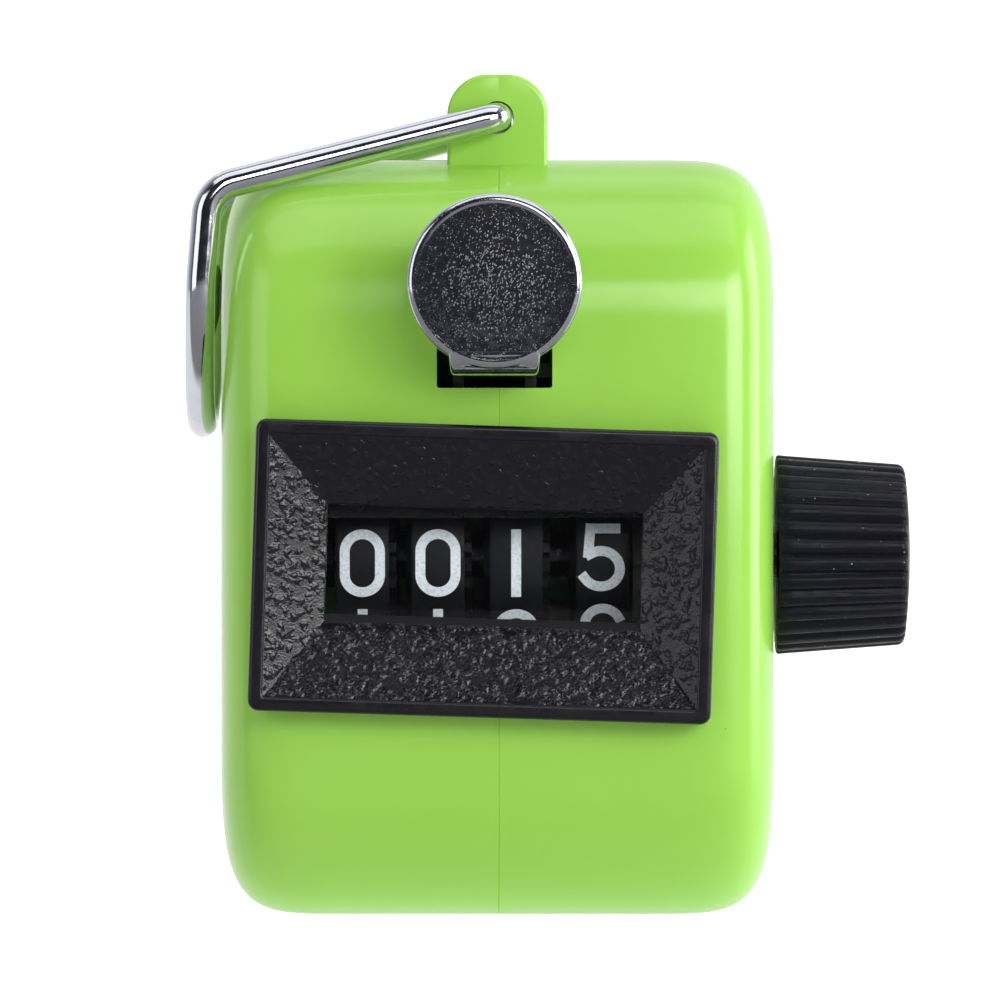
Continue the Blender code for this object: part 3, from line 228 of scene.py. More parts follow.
def case_cuts(bm, side):
    """Everything that is open in the half: screw holes, shaft hole, slot, bezel opening, ear hole."""
    outside = side * (CASE_HALF_WIDTH + 2 * MM)
    inside = SEAM_MIDDLE - side * 2 * MM
    for name, place in SCREWS.items():
        if side < 0:
            # The lower front hole stops inside the wall, so that its mouth is closed flush.
            end = outside if name != "screw_lower_front" else side * (CASE_HALF_WIDTH - 3 * MM)
            places = [(inside, SCREW_HOLE), (SCREW_SEAT, SCREW_HOLE), (SCREW_SEAT, SCREW_HEAD_HOLE),
                      (end, SCREW_HEAD_HOLE)]
        else:
            places = [(inside, SCREW_HOLE), (SCREW_SEAT + SCREW_LENGTH + 1 * MM, SCREW_HOLE)]
        tube_along_x(bm, places, place.y, place.z)
    if side > 0:
        tube_along_x(bm, [(10 * MM, SHAFT_HOLE), (outside, SHAFT_HOLE)], 0, SHAFT_HEIGHT)
    front, behind = CASE_FRONT - 1 * MM, CASE_FRONT + CASE_WALL + 1 * MM
    slot = rounded_box((SLOT_LEFT, SLOT_BOTTOM), (SLOT_RIGHT, SLOT_TOP), [0.2 * MM] * 4, 4)
    prism_along_y(bm, slot, front, behind)
    lens_low, lens_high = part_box("window_lens")
    margin = 1.2 * MM
    opening = rounded_box((lens_low.x - margin, lens_low.z - margin),
                          (lens_high.x + margin, lens_high.z + margin), [0.3 * MM] * 4, 2)
    prism_along_y(bm, opening, front, behind)
    angles = [math.tau * i / 40 for i in range(40)]
    hole = [(EAR_HOLE_RADIUS * math.cos(a), EAR_HOLE_HEIGHT + EAR_HOLE_RADIUS * math.sin(a)) for a in angles]
    prism_along_y(bm, hole, EAR_FRONT - 1 * MM, EAR_BACK + 1 * MM)


def add(tree, kind, values=None, **settings):
    """A node with its settings; each input takes a plain value or a link from another node."""
    made = tree.nodes.new(kind)
    for name, value in settings.items():
        setattr(made, name, value)
    for name, value in (values or {}).items():
        if isinstance(value, bpy.types.NodeSocket):
            tree.links.new(value, made.inputs[name])
        else:
            made.inputs[name].default_value = value
    return made


def maths(tree, operation, first, second):
    """The result of one operation on two numbers."""
    return add(tree, "ShaderNodeMath", {0: first, 1: second}, operation=operation).outputs[0]


def millimetres(tree, scale=1000.0):
    """Where a point lies on its piece, in millimetres or in another size."""
    place = add(tree, "ShaderNodeTexCoord").outputs["Object"]
    return add(tree, "ShaderNodeVectorMath", {0: place, "Scale": scale}, operation="SCALE").outputs[0]


def start_group(name, inputs, outputs):
    """An empty shader node group with named sockets, and a point in millimetres inside it."""
    group = bpy.data.node_groups.new(name, "ShaderNodeTree")
    for socket, value in inputs.items():
        made = group.interface.new_socket(socket, in_out="INPUT", socket_type="NodeSocketFloat")
        made.default_value = value
    for socket, kind in outputs.items():
        group.interface.new_socket(socket, in_out="OUTPUT", socket_type=kind)
    given = add(group, "NodeGroupInput").outputs
    result = add(group, "NodeGroupOutput")
    return group, given, result, millimetres(group, maths(group, "DIVIDE", 1000.0, given["Size"]))


def patchy_gloss_group():
    """Handling marks and flow in the surface: roughness that drifts between two values."""
    group, given, result, point = start_group(
        "patchy gloss", {"Size": 4.0, "Smooth": 0.1, "Dull": 0.2}, {"Roughness": "NodeSocketFloat"})
    drift = add(group, "ShaderNodeTexNoise",
                {"Vector": point, "Scale": 1.0, "Detail": 5.0, "Roughness": 0.6, "Distortion": 0.4})
    spread = add(group, "ShaderNodeMapRange",
                 {"Value": drift.outputs["Fac"], "From Min": 0.36, "From Max": 0.66,
                  "To Min": given["Smooth"], "To Max": given["Dull"]})
    group.links.new(spread.outputs["Result"], result.inputs["Roughness"])
    return group


def specks_group():
    """Dust and tiny pits: round specks, one in some of the cells, each of its own size."""
    group, given, result, point = start_group(
        "specks", {"Size": 0.8, "Share": 0.3, "Radius": 0.12}, {"Mask": "NodeSocketFloat"})
    cells = add(group, "ShaderNodeTexVoronoi", {"Vector": point, "Scale": 1.0, "Randomness": 1.0})
    chosen = add(group, "ShaderNodeSeparateColor", {"Color": cells.outputs["Color"]})
    keep = maths(group, "LESS_THAN", chosen.outputs["Red"], given["Share"])
    reach = maths(group, "MULTIPLY", chosen.outputs["Green"], given["Radius"])
    edge = add(group, "ShaderNodeMapRange",
               {"Value": cells.outputs["Distance"], "From Min": maths(group, "MULTIPLY", reach, 0.5),
                "From Max": reach, "To Min": 1.0, "To Max": 0.0}, interpolation_type="SMOOTHSTEP")
    mask = maths(group, "MULTIPLY", edge.outputs["Result"], keep)
    group.links.new(mask, result.inputs["Mask"])
    return group


def ripple_group():
    """The faint unevenness of a moulded or plated surface, as a height from 0 to 1."""
    group, given, result, point = start_group(
        "ripple", {"Size": 3.0, "Fine": 0.3}, {"Height": "NodeSocketFloat"})
    broad = add(group, "ShaderNodeTexNoise", {"Vector": point, "Scale": 1.0, "Detail": 1.0})
    fine = add(group, "ShaderNodeTexNoise", {"Vector": point, "Scale": 14.0, "Detail": 3.0})
    mix = add(group, "ShaderNodeMix",
              {0: given["Fine"], 2: broad.outputs["Fac"], 3: fine.outputs["Fac"]}, data_type="FLOAT")
    group.links.new(mix.outputs[0], result.inputs["Height"])
    return group


patchy_gloss = patchy_gloss_group()
specks = specks_group()
ripple = ripple_group()


def new_finish(name, **sockets):
    """A material with its Principled shader's plain values set."""
    finish = bpy.data.materials.new(name)
    finish.use_nodes = True
    shader = finish.node_tree.nodes["Principled BSDF"]
    for socket, value in sockets.items():
        shader.inputs[socket.replace("_", " ")].default_value = value
    return finish, finish.node_tree, shader


def use(tree, group, **values):
    """What a shared effect gives in a material, with that material's own values."""
    return add(tree, "ShaderNodeGroup", values, node_tree=group).outputs[0]


def two_colours(tree, shader, mask, low, high):
    """Colour that runs from low to high with a mask, sent to a shader where one is given."""
    if isinstance(low, tuple):
        low = (*low, 1.0)
    mix = add(tree, "ShaderNodeMix", {0: mask, 6: low, 7: (*high, 1.0)}, data_type="RGBA")
    if shader is not None:
        tree.links.new(mix.outputs[2], shader.inputs["Base Color"])
    return mix.outputs[2]


def shade(colour, share):
    """The same colour, darker or lighter."""
    return tuple(min(c * share, 1.0) for c in colour)


def raise_from(tree, shader, height, depth):
    """Bump of a real depth from a height of 0 to 1."""
    bump = add(tree, "ShaderNodeBump", {"Height": height, "Strength": 1.0, "Distance": depth})
    tree.links.new(bump.outputs["Normal"], shader.inputs["Normal"])


def vary_gloss(tree, shader, size, smooth, dull):
    """Roughness that drifts between smooth and dull over patches of this size in millimetres."""
    gloss = use(tree, patchy_gloss, Size=size, Smooth=smooth, Dull=dull)
    tree.links.new(gloss, shader.inputs["Roughness"])


def ruffle(tree, shader, size, fine, depth):
    """Raises the surface by the shared ripple."""
    raise_from(tree, shader, use(tree, ripple, Size=size, Fine=fine), depth)


def noise(tree, scale, detail, stretch=None, roughness=0.5):
    """Noise fixed to the piece, stretched along an axis where three scales are given."""
    point = add(tree, "ShaderNodeTexCoord").outputs["Object"]
    if stretch:
        point = add(tree, "ShaderNodeMapping", {"Vector": point, "Scale": stretch}).outputs["Vector"]
    values = {"Vector": point, "Scale": scale, "Detail": detail, "Roughness": roughness}
    return add(tree, "ShaderNodeTexNoise", values).outputs["Fac"]


def dress(obj, *finishes):
    """Gives an object these materials; a CAD node's own plain one goes."""
    if obj.data.materials:
        obj.data.materials.clear()
    for finish in finishes:
        obj.data.materials.append(finish)


def glossy_green():
    finish, tree, shader = new_finish("glossy green ABS", IOR=1.52, Specular_IOR_Level=0.5)
    clouds = noise(tree, 90.0, 3.0)
    base = two_colours(tree, None, clouds, shade(GREEN, 0.985), shade(GREEN, 1.015))
    pits = use(tree, specks, Size=1.6, Share=0.14, Radius=0.07)
    two_colours(tree, shader, pits, base, (0.20, 0.43, 0.06))
    vary_gloss(tree, shader, 6.0, 0.15, 0.22)
    ruffle(tree, shader, 5.0, 0.10, 0.010 * MM)
    return finish


green = glossy_green()
for side, node, name in ((-1, "left_case", "case_left"), (1, "right_case", "case_right")):
    half = as_object(as_mesh(case_shell(side), name), name)
    joined = bmesh.new()
    ear_half(joined, side)
    case_tubes(joined, side)
    carve(half, as_mesh(joined, "joined"), "UNION")
    opened = bmesh.new()
    case_cuts(opened, side)
    carve(half, as_mesh(opened, "opened"), "DIFFERENCE")
    dress(half, green)
    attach(half, "case")
    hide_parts(node)


# ------------------------------------------------------------------ shaft, gears and springs
# The working parts inside: drawn steel shafts, pins and springs, and pinions and a ratchet moulded
# in acetal gone grey with oil. They are pressed or slid into place and keep the CAD part's shape.

STEEL = (0.56, 0.56, 0.58)
OILED_STEEL = (0.07, 0.07, 0.075)
ACETAL = (0.30, 0.30, 0.28)
STEEL_PIECES = ("main_shaft", "shaft_clip", "pinion_shaft", "lever_pin", "lever_spring", "drive_pawl",
                "pawl_rivet", "click_spring")
ACETAL_PIECES = ("units_ratchet", "units_pinion", "tens_pinion", "hundreds_pinion")


def drawn_steel(name, colour):
    finish, tree, shader = new_finish(name, Metallic=1.0)
    lines = noise(tree, 1.0, 3.0, (200.0, 6000.0, 6000.0))
    two_colours(tree, shader, lines, shade(colour, 0.85), colour)
    vary_gloss(tree, shader, 1.5, 0.24, 0.36)
    raise_from(tree, shader, lines, 0.003 * MM)
    return finish


def moulded_acetal():
    finish, tree, shader = new_finish("natural acetal", IOR=1.48)
    marks = use(tree, specks, Size=0.9, Share=0.2, Radius=0.1)
    two_colours(tree, shader, marks, ACETAL, (0.5, 0.49, 0.44))
    vary_gloss(tree, shader, 2.0, 0.34, 0.48)
    ruffle(tree, shader, 1.5, 0.3, 0.006 * MM)
    return finish


steel, acetal = drawn_steel("oiled steel", OILED_STEEL), moulded_acetal()
for name in STEEL_PIECES:
    dress(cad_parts[name], steel)
for name in ACETAL_PIECES:
    dress(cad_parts[name], acetal)


# ------------------------------------------------------------------ number wheels
# Four black wheels that turn on the shaft, each with a smooth printed rim. The figures 0 to 9 are
# hot-stamped round it in off-white ink, a tenth of a turn apart; the next figure waits below.

WHEEL_BLACK = (0.005, 0.005, 0.007)
INK = (0.80, 0.86, 0.92)
RIM_RADIUS = 9.23 * MM
RIM_EDGE = 0.12 * MM
RIM_WIDTH = 3.74 * MM
FIGURE_WIDTH = 3.2 * MM
FIGURE_HEIGHT = 4.85 * MM
STROKE = 0.70 * MM
INK_THICKNESS = 0.025 * MM
WHEELS = (
    # body, middle along the shaft, figure shown, its angle above the front
    ("thousands", -9.58 * MM, 0, -3.5),
    ("hundreds", -4.22 * MM, 0, -3.4),
    ("tens", 1.33 * MM, 1, -3.5),
    ("units", 7.47 * MM, 5, -0.9),
)


def arc(middle_u, middle_v, radius_u, radius_v, start, end, steps=20):
    angles = [math.radians(start + (end - start) * i / steps) for i in range(steps + 1)]
    return [(middle_u + radius_u * math.cos(a), middle_v + radius_v * math.sin(a)) for a in angles]


def line(start, end, steps=8):
    return [(start[0] + (end[0] - start[0]) * i / steps, start[1] + (end[1] - start[1]) * i / steps)
            for i in range(steps + 1)]


def figure_strokes():
    """Middle lines of the ten figures, (across, up) from the middle; a closed one repeats its start."""
    a = (FIGURE_WIDTH - STROKE) / 2
    b = (FIGURE_HEIGHT - STROKE) / 2
    small = a * 0.86
    waist = b * 0.10
    zero = arc(0, b - a, a, a, 0, 180) + arc(0, a - b, a, a, 180, 360)
    zero.append(zero[0])
    two = arc(0, b - a, a, a, 165, -20) + line((a * 0.80, b - 1.55 * a), (-a, -b))
    three_top = arc(0, b - small, small, small, 155, -90)
    three_bottom = arc(0, -b + a, a, (2 * b - 2 * small) - a, 90, -155)
    five_bar = line((a * 0.72, b), (-a * 0.50, b))
    five_stem = line((-a * 0.70, b), (-a * 0.82, waist * 1.6))
    bowl = arc(-0.10 * a, -b + a * 1.02, a * 1.08, a * 1.02, 125, -150)
    six_bowl = arc(0, -b + a, a, a, 0, 360)
    six_stem = line((-a, -b + a), (-a, b - a)) + arc(0, b - a, a, a, 180, 25)
    nine_bowl = [(-u, -v) for u, v in six_bowl]
    nine_stem = [(-u, -v) for u, v in six_stem]
    return (
        [zero],
        [line((0, b), (0, -b), 16)],
        [two, line((-a, -b), (a, -b))],
        [three_top, three_bottom],
        [line((a * 0.45, b), (-a, -b * 0.35)), line((-a, -b * 0.35), (a, -b * 0.35)),
         line((a * 0.45, b), (a * 0.45, -b), 16)],
        [five_bar, five_stem, bowl],
        [six_bowl, six_stem],
        [line((-a, b), (a, b)), line((a, b), (-a * 0.35, -b), 16)],
        [arc(0, b - small, small, small, 0, 360), arc(0, -b + a, a, 2 * b - 2 * small - a, 0, 360)],
        [nine_bowl, nine_stem],
    )


def even_points(points, spacing):
    """The line with points close enough to follow the rim; an open end runs on by half a stroke."""
    if math.dist(points[0], points[-1]) > 1e-7:
        for end, beside in ((0, 1), (-1, -2)):
            away = Vector(points[end]) - Vector(points[beside])
            points = list(points)
            points[end] = tuple(Vector(points[end]) + away.normalized() * STROKE / 2)
    dense = [points[0]]
    for start, end in zip(points, points[1:]):
        steps = max(1, math.ceil(math.dist(start, end) / spacing))
        dense += line(start, end, steps)[1:]
    return dense


def ribbon(bm, middle_line, place):
    """A printed stroke of even width along a middle line; place puts (across, up, height) on the rim."""
    middle_line = even_points(middle_line, 0.25 * MM)
    closed = math.dist(middle_line[0], middle_line[-1]) < 1e-7
    rows = []
    last = len(middle_line) - 1
    for i, (u, v) in enumerate(middle_line):
        before = middle_line[i - 1] if i else (middle_line[-2] if closed else middle_line[0])
        after = middle_line[i + 1] if i < last else (middle_line[1] if closed else middle_line[-1])
        along = Vector((after[0] - before[0], after[1] - before[1])).normalized() * STROKE / 2
        near, far = (u - along.y, v + along.x), (u + along.y, v - along.x)
        rows.append([bm.verts.new(place(*point, height)) for point, height in
                     ((near, 0.0), (near, INK_THICKNESS), (far, INK_THICKNESS), (far, 0.0))])
    for row, following in zip(rows, rows[1:]):
        for k in range(4):
            bm.faces.new((row[k - 1], row[k], following[k], following[k - 1]))
    bm.faces.new(rows[0])
    bm.faces.new(rows[-1])


def wheel_rim(name, middle):
    half = RIM_WIDTH / 2
    places = [(-half, RIM_RADIUS - 0.6 * MM), (-half, RIM_RADIUS - RIM_EDGE)]
    for angle in quarter_turn(4, 1):
        places.append((-half + RIM_EDGE * (1 - math.cos(angle)),
                       RIM_RADIUS - RIM_EDGE * (1 - math.sin(angle))))
    places += [(-x, r) for x, r in reversed(places)]
    bm = bmesh.new()
    angles = [math.tau * i / 160 for i in range(160)]
    skin(bm, [[(middle + x, r * math.cos(a), SHAFT_HEIGHT + r * math.sin(a)) for a in angles]
              for x, r in places], closed=True)
    return as_object(as_mesh(bm, name), name)


def wheel_figures(name, middle, shown, lift):
    bm = bmesh.new()
    strokes = figure_strokes()
    for figure in range(10):
        turned = math.radians(lift - 36.0 * ((figure - shown) % 10))

        def place(across, up, height):
            radius = RIM_RADIUS + height
            angle = turned + up / RIM_RADIUS
            return middle + across, -radius * math.cos(angle), SHAFT_HEIGHT + radius * math.sin(angle)

        for stroke in strokes[figure]:
            ribbon(bm, stroke, place)
    return as_object(as_mesh(bm, name, 40.0), name)


def wheel_plastic():
    finish, tree, shader = new_finish("black wheel plastic", IOR=1.5, Specular_IOR_Level=0.25)
    dust = use(tree, specks, Size=0.5, Share=0.18, Radius=0.10)
    two_colours(tree, shader, dust, WHEEL_BLACK, (0.07, 0.07, 0.08))
    vary_gloss(tree, shader, 2.0, 0.38, 0.52)
    ruffle(tree, shader, 0.8, 0.5, 0.006 * MM)
    return finish


def stamped_ink():
    finish, tree, shader = new_finish("stamped ink", IOR=1.45)
    thin = noise(tree, 5200.0, 2.0)
    spread = add(tree, "ShaderNodeMapRange", {"Value": thin, "From Min": 0.30, "From Max": 0.52})
    two_colours(tree, shader, spread.outputs["Result"], shade(INK, 0.72), INK)
    vary_gloss(tree, shader, 1.0, 0.45, 0.6)
    return finish


wheel_black, ink = wheel_plastic(), stamped_ink()
for body, middle, shown, lift in WHEELS:
    dress(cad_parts[body + "_wheel"], wheel_black)
    rim = wheel_rim(body + "_rim", middle)
    dress(rim, wheel_black)
    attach(rim, body)
    figures = wheel_figures(body + "_figures", middle, shown, lift)
    dress(figures, ink)
    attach(figures, body)


# ------------------------------------------------------------------ reset knob
# One moulding in black plastic on the end of the shaft, tapered, with thirty-two fine ribs for
# the fingers and a slightly domed end. Dust sits on its ribs.

KNOB_START, KNOB_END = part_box("reset_knob")[0].x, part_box("reset_knob")[1].x
KNOB_BASE_RADIUS = 7.2 * MM
KNOB_END_RADIUS = 6.55 * MM
KNOB_RIBS = 32
KNOB_RIB_DEPTH = 0.34 * MM
KNOB_EDGE = 0.6 * MM
KNOB_DOME = 0.35 * MM
KNOB_BLACK = (0.006, 0.006, 0.010)


def knob_mesh():
    """Rings along the shaft, each with rounded ribs that fade out over the end's edge."""
    per_rib = 10
    edge_x = KNOB_END - KNOB_DOME - KNOB_EDGE
    places = [(KNOB_START, KNOB_BASE_RADIUS - 0.12 * MM, 0.8),
              (KNOB_START + 0.12 * MM, KNOB_BASE_RADIUS, 1.0)]
    for i in range(1, 9):
        share = i / 8
        places.append((KNOB_START + (edge_x - KNOB_START) * share,
                       KNOB_BASE_RADIUS + (KNOB_END_RADIUS - KNOB_BASE_RADIUS) * share, 1.0))
    for angle in quarter_turn(8, 1):
        places.append((edge_x + KNOB_EDGE * math.sin(angle),
                       KNOB_END_RADIUS - KNOB_EDGE * (1 - math.cos(angle)), math.cos(angle)))
    rim = KNOB_END_RADIUS - KNOB_EDGE
    for i in range(1, 9):
        share = 1 - i / 8.5
        places.append((KNOB_END - KNOB_DOME * share ** 2, rim * share, 0.0))
    rings = []
    for x, radius, depth in places:
        ring = []
        for i in range(KNOB_RIBS * per_rib):
            phase = math.cos(math.pi * i / per_rib)
            groove = abs(phase) ** 5
            r = radius - KNOB_RIB_DEPTH * depth * groove
            angle = math.tau * i / (KNOB_RIBS * per_rib)
            ring.append((x, r * math.cos(angle), SHAFT_HEIGHT + r * math.sin(angle)))
        rings.append(ring)
    bm = bmesh.new()
    skin(bm, rings)
    return as_mesh(bm, "knob", 50.0)


def dusty_black():
    finish, tree, shader = new_finish("black knob plastic", IOR=1.5, Specular_IOR_Level=0.16)
    lines = noise(tree, 1.0, 4.0, (120.0, 3400.0, 3400.0))
    rubbed = two_colours(tree, None, lines, shade(KNOB_BLACK, 0.6), shade(KNOB_BLACK, 1.8))
    dust = use(tree, specks, Size=0.42, Share=0.16, Radius=0.20)
    two_colours(tree, shader, dust, rubbed, (0.30, 0.31, 0.34))
    vary_gloss(tree, shader, 1.2, 0.26, 0.46)
    raise_from(tree, shader, lines, 0.05 * MM)
    return finish


knob = as_object(knob_mesh(), "knob")
dress(knob, dusty_black())
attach(knob, "knob_shaft")
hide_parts("reset_knob")


# ------------------------------------------------------------------ bezel
# A black frame pushed into the front of the case, moulded in one piece: a smooth raised rim and
# four mitred panels that fall to the window, with a leather grain etched in the tool.

BEZEL_WIDTH, BEZEL_TALL = 32.5 * MM, 20.5 * MM
BEZEL_MIDDLE = Vector((-0.98 * MM, CASE_FRONT, 24.72 * MM))
BEZEL_TILT = math.radians(1.8)
BEZEL_PROUD = 2.5 * MM
BEZEL_RIM = 1.0 * MM
BEZEL_CORNER = 0.75 * MM
WINDOW_WIDTH, WINDOW_TALL, WINDOW_LIFT = 22.3 * MM, 8.3 * MM, 0.3 * MM
WINDOW_SINK = 2.1 * MM
WINDOW_LEDGE = 0.45 * MM
LENS_ROOM = 0.9 * MM
LEVEL_EDGE = 28.47 * MM  # a black strip behind the lens, level though the frame is tilted, stands for the case's level opening edge in shadow: painted shade
LEVEL_LEFT, LEVEL_RIGHT, LEVEL_TALL = -13.4 * MM, 11.4 * MM, 1.9 * MM
BEZEL_BLACK = (0.005, 0.005, 0.008)


def bezel_ring(low, high, depth, radius):
    """One ring of the bezel, turned with it and set in its place on the case."""
    tilt = Matrix.Rotation(BEZEL_TILT, 3, "Y")
    outline = rounded_box(low, high, [radius] * 4, 6)
    return [BEZEL_MIDDLE + tilt @ Vector((x, depth, z)) for x, z in outline]


def bezel_mesh():
    half_x, half_z = BEZEL_WIDTH / 2, BEZEL_TALL / 2

    def outer(inset):
        return (-half_x + inset, -half_z + inset), (half_x - inset, half_z - inset)

    def window(grow, lift=0.0):
        return ((-WINDOW_WIDTH / 2 - grow, WINDOW_LIFT - WINDOW_TALL / 2 - grow + lift),
                (WINDOW_WIDTH / 2 + grow, WINDOW_LIFT + WINDOW_TALL / 2 + grow))

    front = -BEZEL_PROUD
    sill = front + WINDOW_SINK
    edge = 0.35 * MM
    smooth = [(outer(0.08 * MM), -0.05 * MM, BEZEL_CORNER), (outer(0.0), -0.2 * MM, BEZEL_CORNER)]
    for angle in quarter_turn(8):
        smooth.append((outer(edge * (1 - math.cos(angle))), front + edge * (1 - math.sin(angle)),
                       BEZEL_CORNER - 0.5 * edge * (1 - math.cos(angle))))
    for angle in quarter_turn(6):
        smooth.append((outer(BEZEL_RIM - 0.2 * MM + 0.2 * MM * math.sin(angle)),
                       front + 0.14 * MM * (1 - math.cos(angle)), 0.3 * MM))
    grained = [(outer(BEZEL_RIM + 0.05 * MM), front + 0.16 * MM, 0.22 * MM)]
    rim_low, rim_high = outer(BEZEL_RIM + 0.05 * MM)
    sill_low, sill_high = window(0.0)
    for i in range(1, 9):
        share = i / 8
        low = tuple(a + (b - a) * share for a, b in zip(rim_low, sill_low))
        high = tuple(a + (b - a) * share for a, b in zip(rim_high, sill_high))
        depth = front + 0.16 * MM + (WINDOW_SINK - 0.16 * MM) * share
        grained.append(((low, high), depth, 0.22 * MM - 0.1 * MM * share))
    inside = [(window(-0.06 * MM), sill + 0.05 * MM, 0.1 * MM),
              (window(-0.08 * MM, WINDOW_LEDGE), sill + 0.3 * MM, 0.1 * MM),
              (window(-0.08 * MM, WINDOW_LEDGE), 0.2 * MM, 0.1 * MM), (window(LENS_ROOM), 0.2 * MM, 0.1 * MM),
              (window(LENS_ROOM), CASE_WALL, 0.1 * MM), (window(LENS_ROOM + 0.8 * MM), CASE_WALL, 0.3 * MM),
              (window(LENS_ROOM + 0.8 * MM), -0.05 * MM, 0.3 * MM)]
    stations = smooth + grained + inside
    bm = bmesh.new()
    faces = skin(bm, [bezel_ring(*bounds, depth, radius) for bounds, depth, radius in stations], closed=True)
    per_ring = len(faces) // len(stations)
    first, last = len(smooth), len(smooth) + len(grained) - 1
    for i, face in enumerate(faces):
        face.material_index = 0 if i // per_ring < first else 1 if i // per_ring < last else 2
    back = CASE_FRONT + CASE_WALL
    # Painted shade: a black strip where the case's green, level opening edge lies in shadow behind the lens.
    strip = rounded_box((LEVEL_LEFT, LEVEL_EDGE), (LEVEL_RIGHT, LEVEL_EDGE + LEVEL_TALL), [0.1 * MM] * 4, 2)
    prism_along_y(bm, strip, back + 0.02 * MM, back + 0.3 * MM)
    return as_mesh(bm, "bezel", 30.0)


def bezel_smooth():
    finish, tree, shader = new_finish("bezel rim", IOR=1.5)
    dust = use(tree, specks, Size=0.7, Share=0.12, Radius=0.08)
    two_colours(tree, shader, dust, BEZEL_BLACK, (0.18, 0.18, 0.19))
    vary_gloss(tree, shader, 2.5, 0.20, 0.32)
    ruffle(tree, shader, 1.2, 0.35, 0.010 * MM)
    return finish


def bezel_grain():
    """Leather grain: rounded pebbles with creases between them, and a finer texture on top."""
    finish, tree, shader = new_finish("bezel grain", IOR=1.5)
    point = millimetres(tree)
    drift = add(tree, "ShaderNodeTexNoise", {"Vector": point, "Scale": 1.6, "Detail": 2.0})
    bent = add(tree, "ShaderNodeVectorMath", {0: drift.outputs["Color"], 1: (0.9, 0.9, 0.9), 2: point},
               operation="MULTIPLY_ADD")
    pebbles = add(tree, "ShaderNodeTexVoronoi",
                  {"Vector": bent.outputs[0], "Scale": 1.55, "Randomness": 1.0, "Smoothness": 0.45},
                  feature="SMOOTH_F1")
    domed = add(tree, "ShaderNodeMapRange",
                {"Value": pebbles.outputs["Distance"], "From Min": 0.62, "From Max": 0.12},
                interpolation_type="SMOOTHSTEP")
    fine = add(tree, "ShaderNodeTexNoise", {"Vector": point, "Scale": 7.0, "Detail": 3.0, "Roughness": 0.6})
    blend = add(tree, "ShaderNodeMix", {0: 0.22, 2: domed.outputs["Result"], 3: fine.outputs["Fac"]},
                data_type="FLOAT")
    grain = blend.outputs[0]
    worn = two_colours(tree, None, grain, shade(BEZEL_BLACK, 0.6), shade(BEZEL_BLACK, 1.5))
    dust = use(tree, specks, Size=0.6, Share=0.14, Radius=0.09)
    two_colours(tree, shader, dust, worn, (0.22, 0.22, 0.23))
    vary_gloss(tree, shader, 1.5, 0.13, 0.21)
    raise_from(tree, shader, grain, 0.085 * MM)
    return finish


bezel = as_object(bezel_mesh(), "bezel_frame")
dress(bezel, bezel_smooth(), bezel_grain(), wheel_black)
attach(bezel, "case")
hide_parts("bezel")


# ------------------------------------------------------------------ window lens
# A flat clear acrylic plate in the rebate behind the bezel's window. It is cut from sheet and
# held between the bezel and the case, so only its face shows.


def clear_acrylic():
    finish, tree, shader = new_finish("clear acrylic", IOR=1.49, Transmission_Weight=1.0)
    marks = use(tree, specks, Size=1.1, Share=0.12, Radius=0.05)
    two_colours(tree, shader, marks, (0.97, 0.985, 0.98), (0.6, 0.62, 0.62))
    vary_gloss(tree, shader, 3.0, 0.0, 0.03)
    shadow = add(tree, "ShaderNodeLightPath").outputs["Is Shadow Ray"]
    open_air = add(tree, "ShaderNodeBsdfTransparent").outputs[0]
    mix = add(tree, "ShaderNodeMixShader", {0: shadow, 1: shader.outputs[0], 2: open_air})
    tree.links.new(mix.outputs[0], tree.nodes["Material Output"].inputs["Surface"])
    return finish


dress(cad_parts["window_lens"], clear_acrylic())


# ------------------------------------------------------------------ thumb lever
# One pressing in 1 mm steel sheet, chrome plated: a round thumb disc with a rolled edge, a neck
# that bends back through the slot, and an arm inside with a crossbar and the pawl's finger.

LEVER_MIDDLE = -0.2 * MM
SHEET = 1.0 * MM
DISC_RADIUS = 6.14 * MM
DISC_HEIGHT = 45.0 * MM
DISC_BACK = CASE_FRONT - 4.2 * MM
DISC_EDGE = 0.5 * MM
DISC_CROWN = 0.06 * MM
NECK_WIDTH = 6.4 * MM
ARM_WIDTH = 6.1 * MM
ARM_UNDERSIDE = 38.44 * MM
BEND_INSIDE = 0.6 * MM
LEVER_PIN = Vector((0, -9.9 * MM, 37.0 * MM))
PAWL_PIN = Vector((0, 6.8 * MM, 37.2 * MM))
FINGER_LEFT, FINGER_RIGHT = 9.41 * MM, 12.01 * MM
TAB_THICKNESS = 0.8 * MM
PIN_HOLE = 0.86 * MM
RIVET_HOLE = 0.75 * MM
CHROME = (0.64, 0.65, 0.71)


def disc_mesh(bm):
    """The disc as rings about its own middle, from the back plane to the crowned face."""
    places = [(0.0, DISC_RADIUS - 0.35 * MM), (-0.1 * MM, DISC_RADIUS - 0.1 * MM), (-0.3 * MM, DISC_RADIUS)]
    for angle in quarter_turn(10, 1):
        places.append((-(SHEET - DISC_EDGE) - DISC_EDGE * math.sin(angle),
                       DISC_RADIUS - DISC_EDGE * (1 - math.cos(angle))))
    flat = DISC_RADIUS - DISC_EDGE
    places.append((-SHEET + 0.02 * MM, flat - 0.12 * MM))
    places.append((-SHEET + 0.02 * MM, flat - 0.3 * MM))
    for i in range(1, 8):
        share = 1 - i / 7.2
        places.append((-SHEET + 0.02 * MM - DISC_CROWN * (1 - share ** 2), (flat - 0.3 * MM) * share))
    angles = [math.tau * i / 128 for i in range(128)]
    skin(bm, [[(LEVER_MIDDLE + r * math.cos(a), DISC_BACK + y, DISC_HEIGHT + r * math.sin(a)) for a in angles]
              for y, r in places])


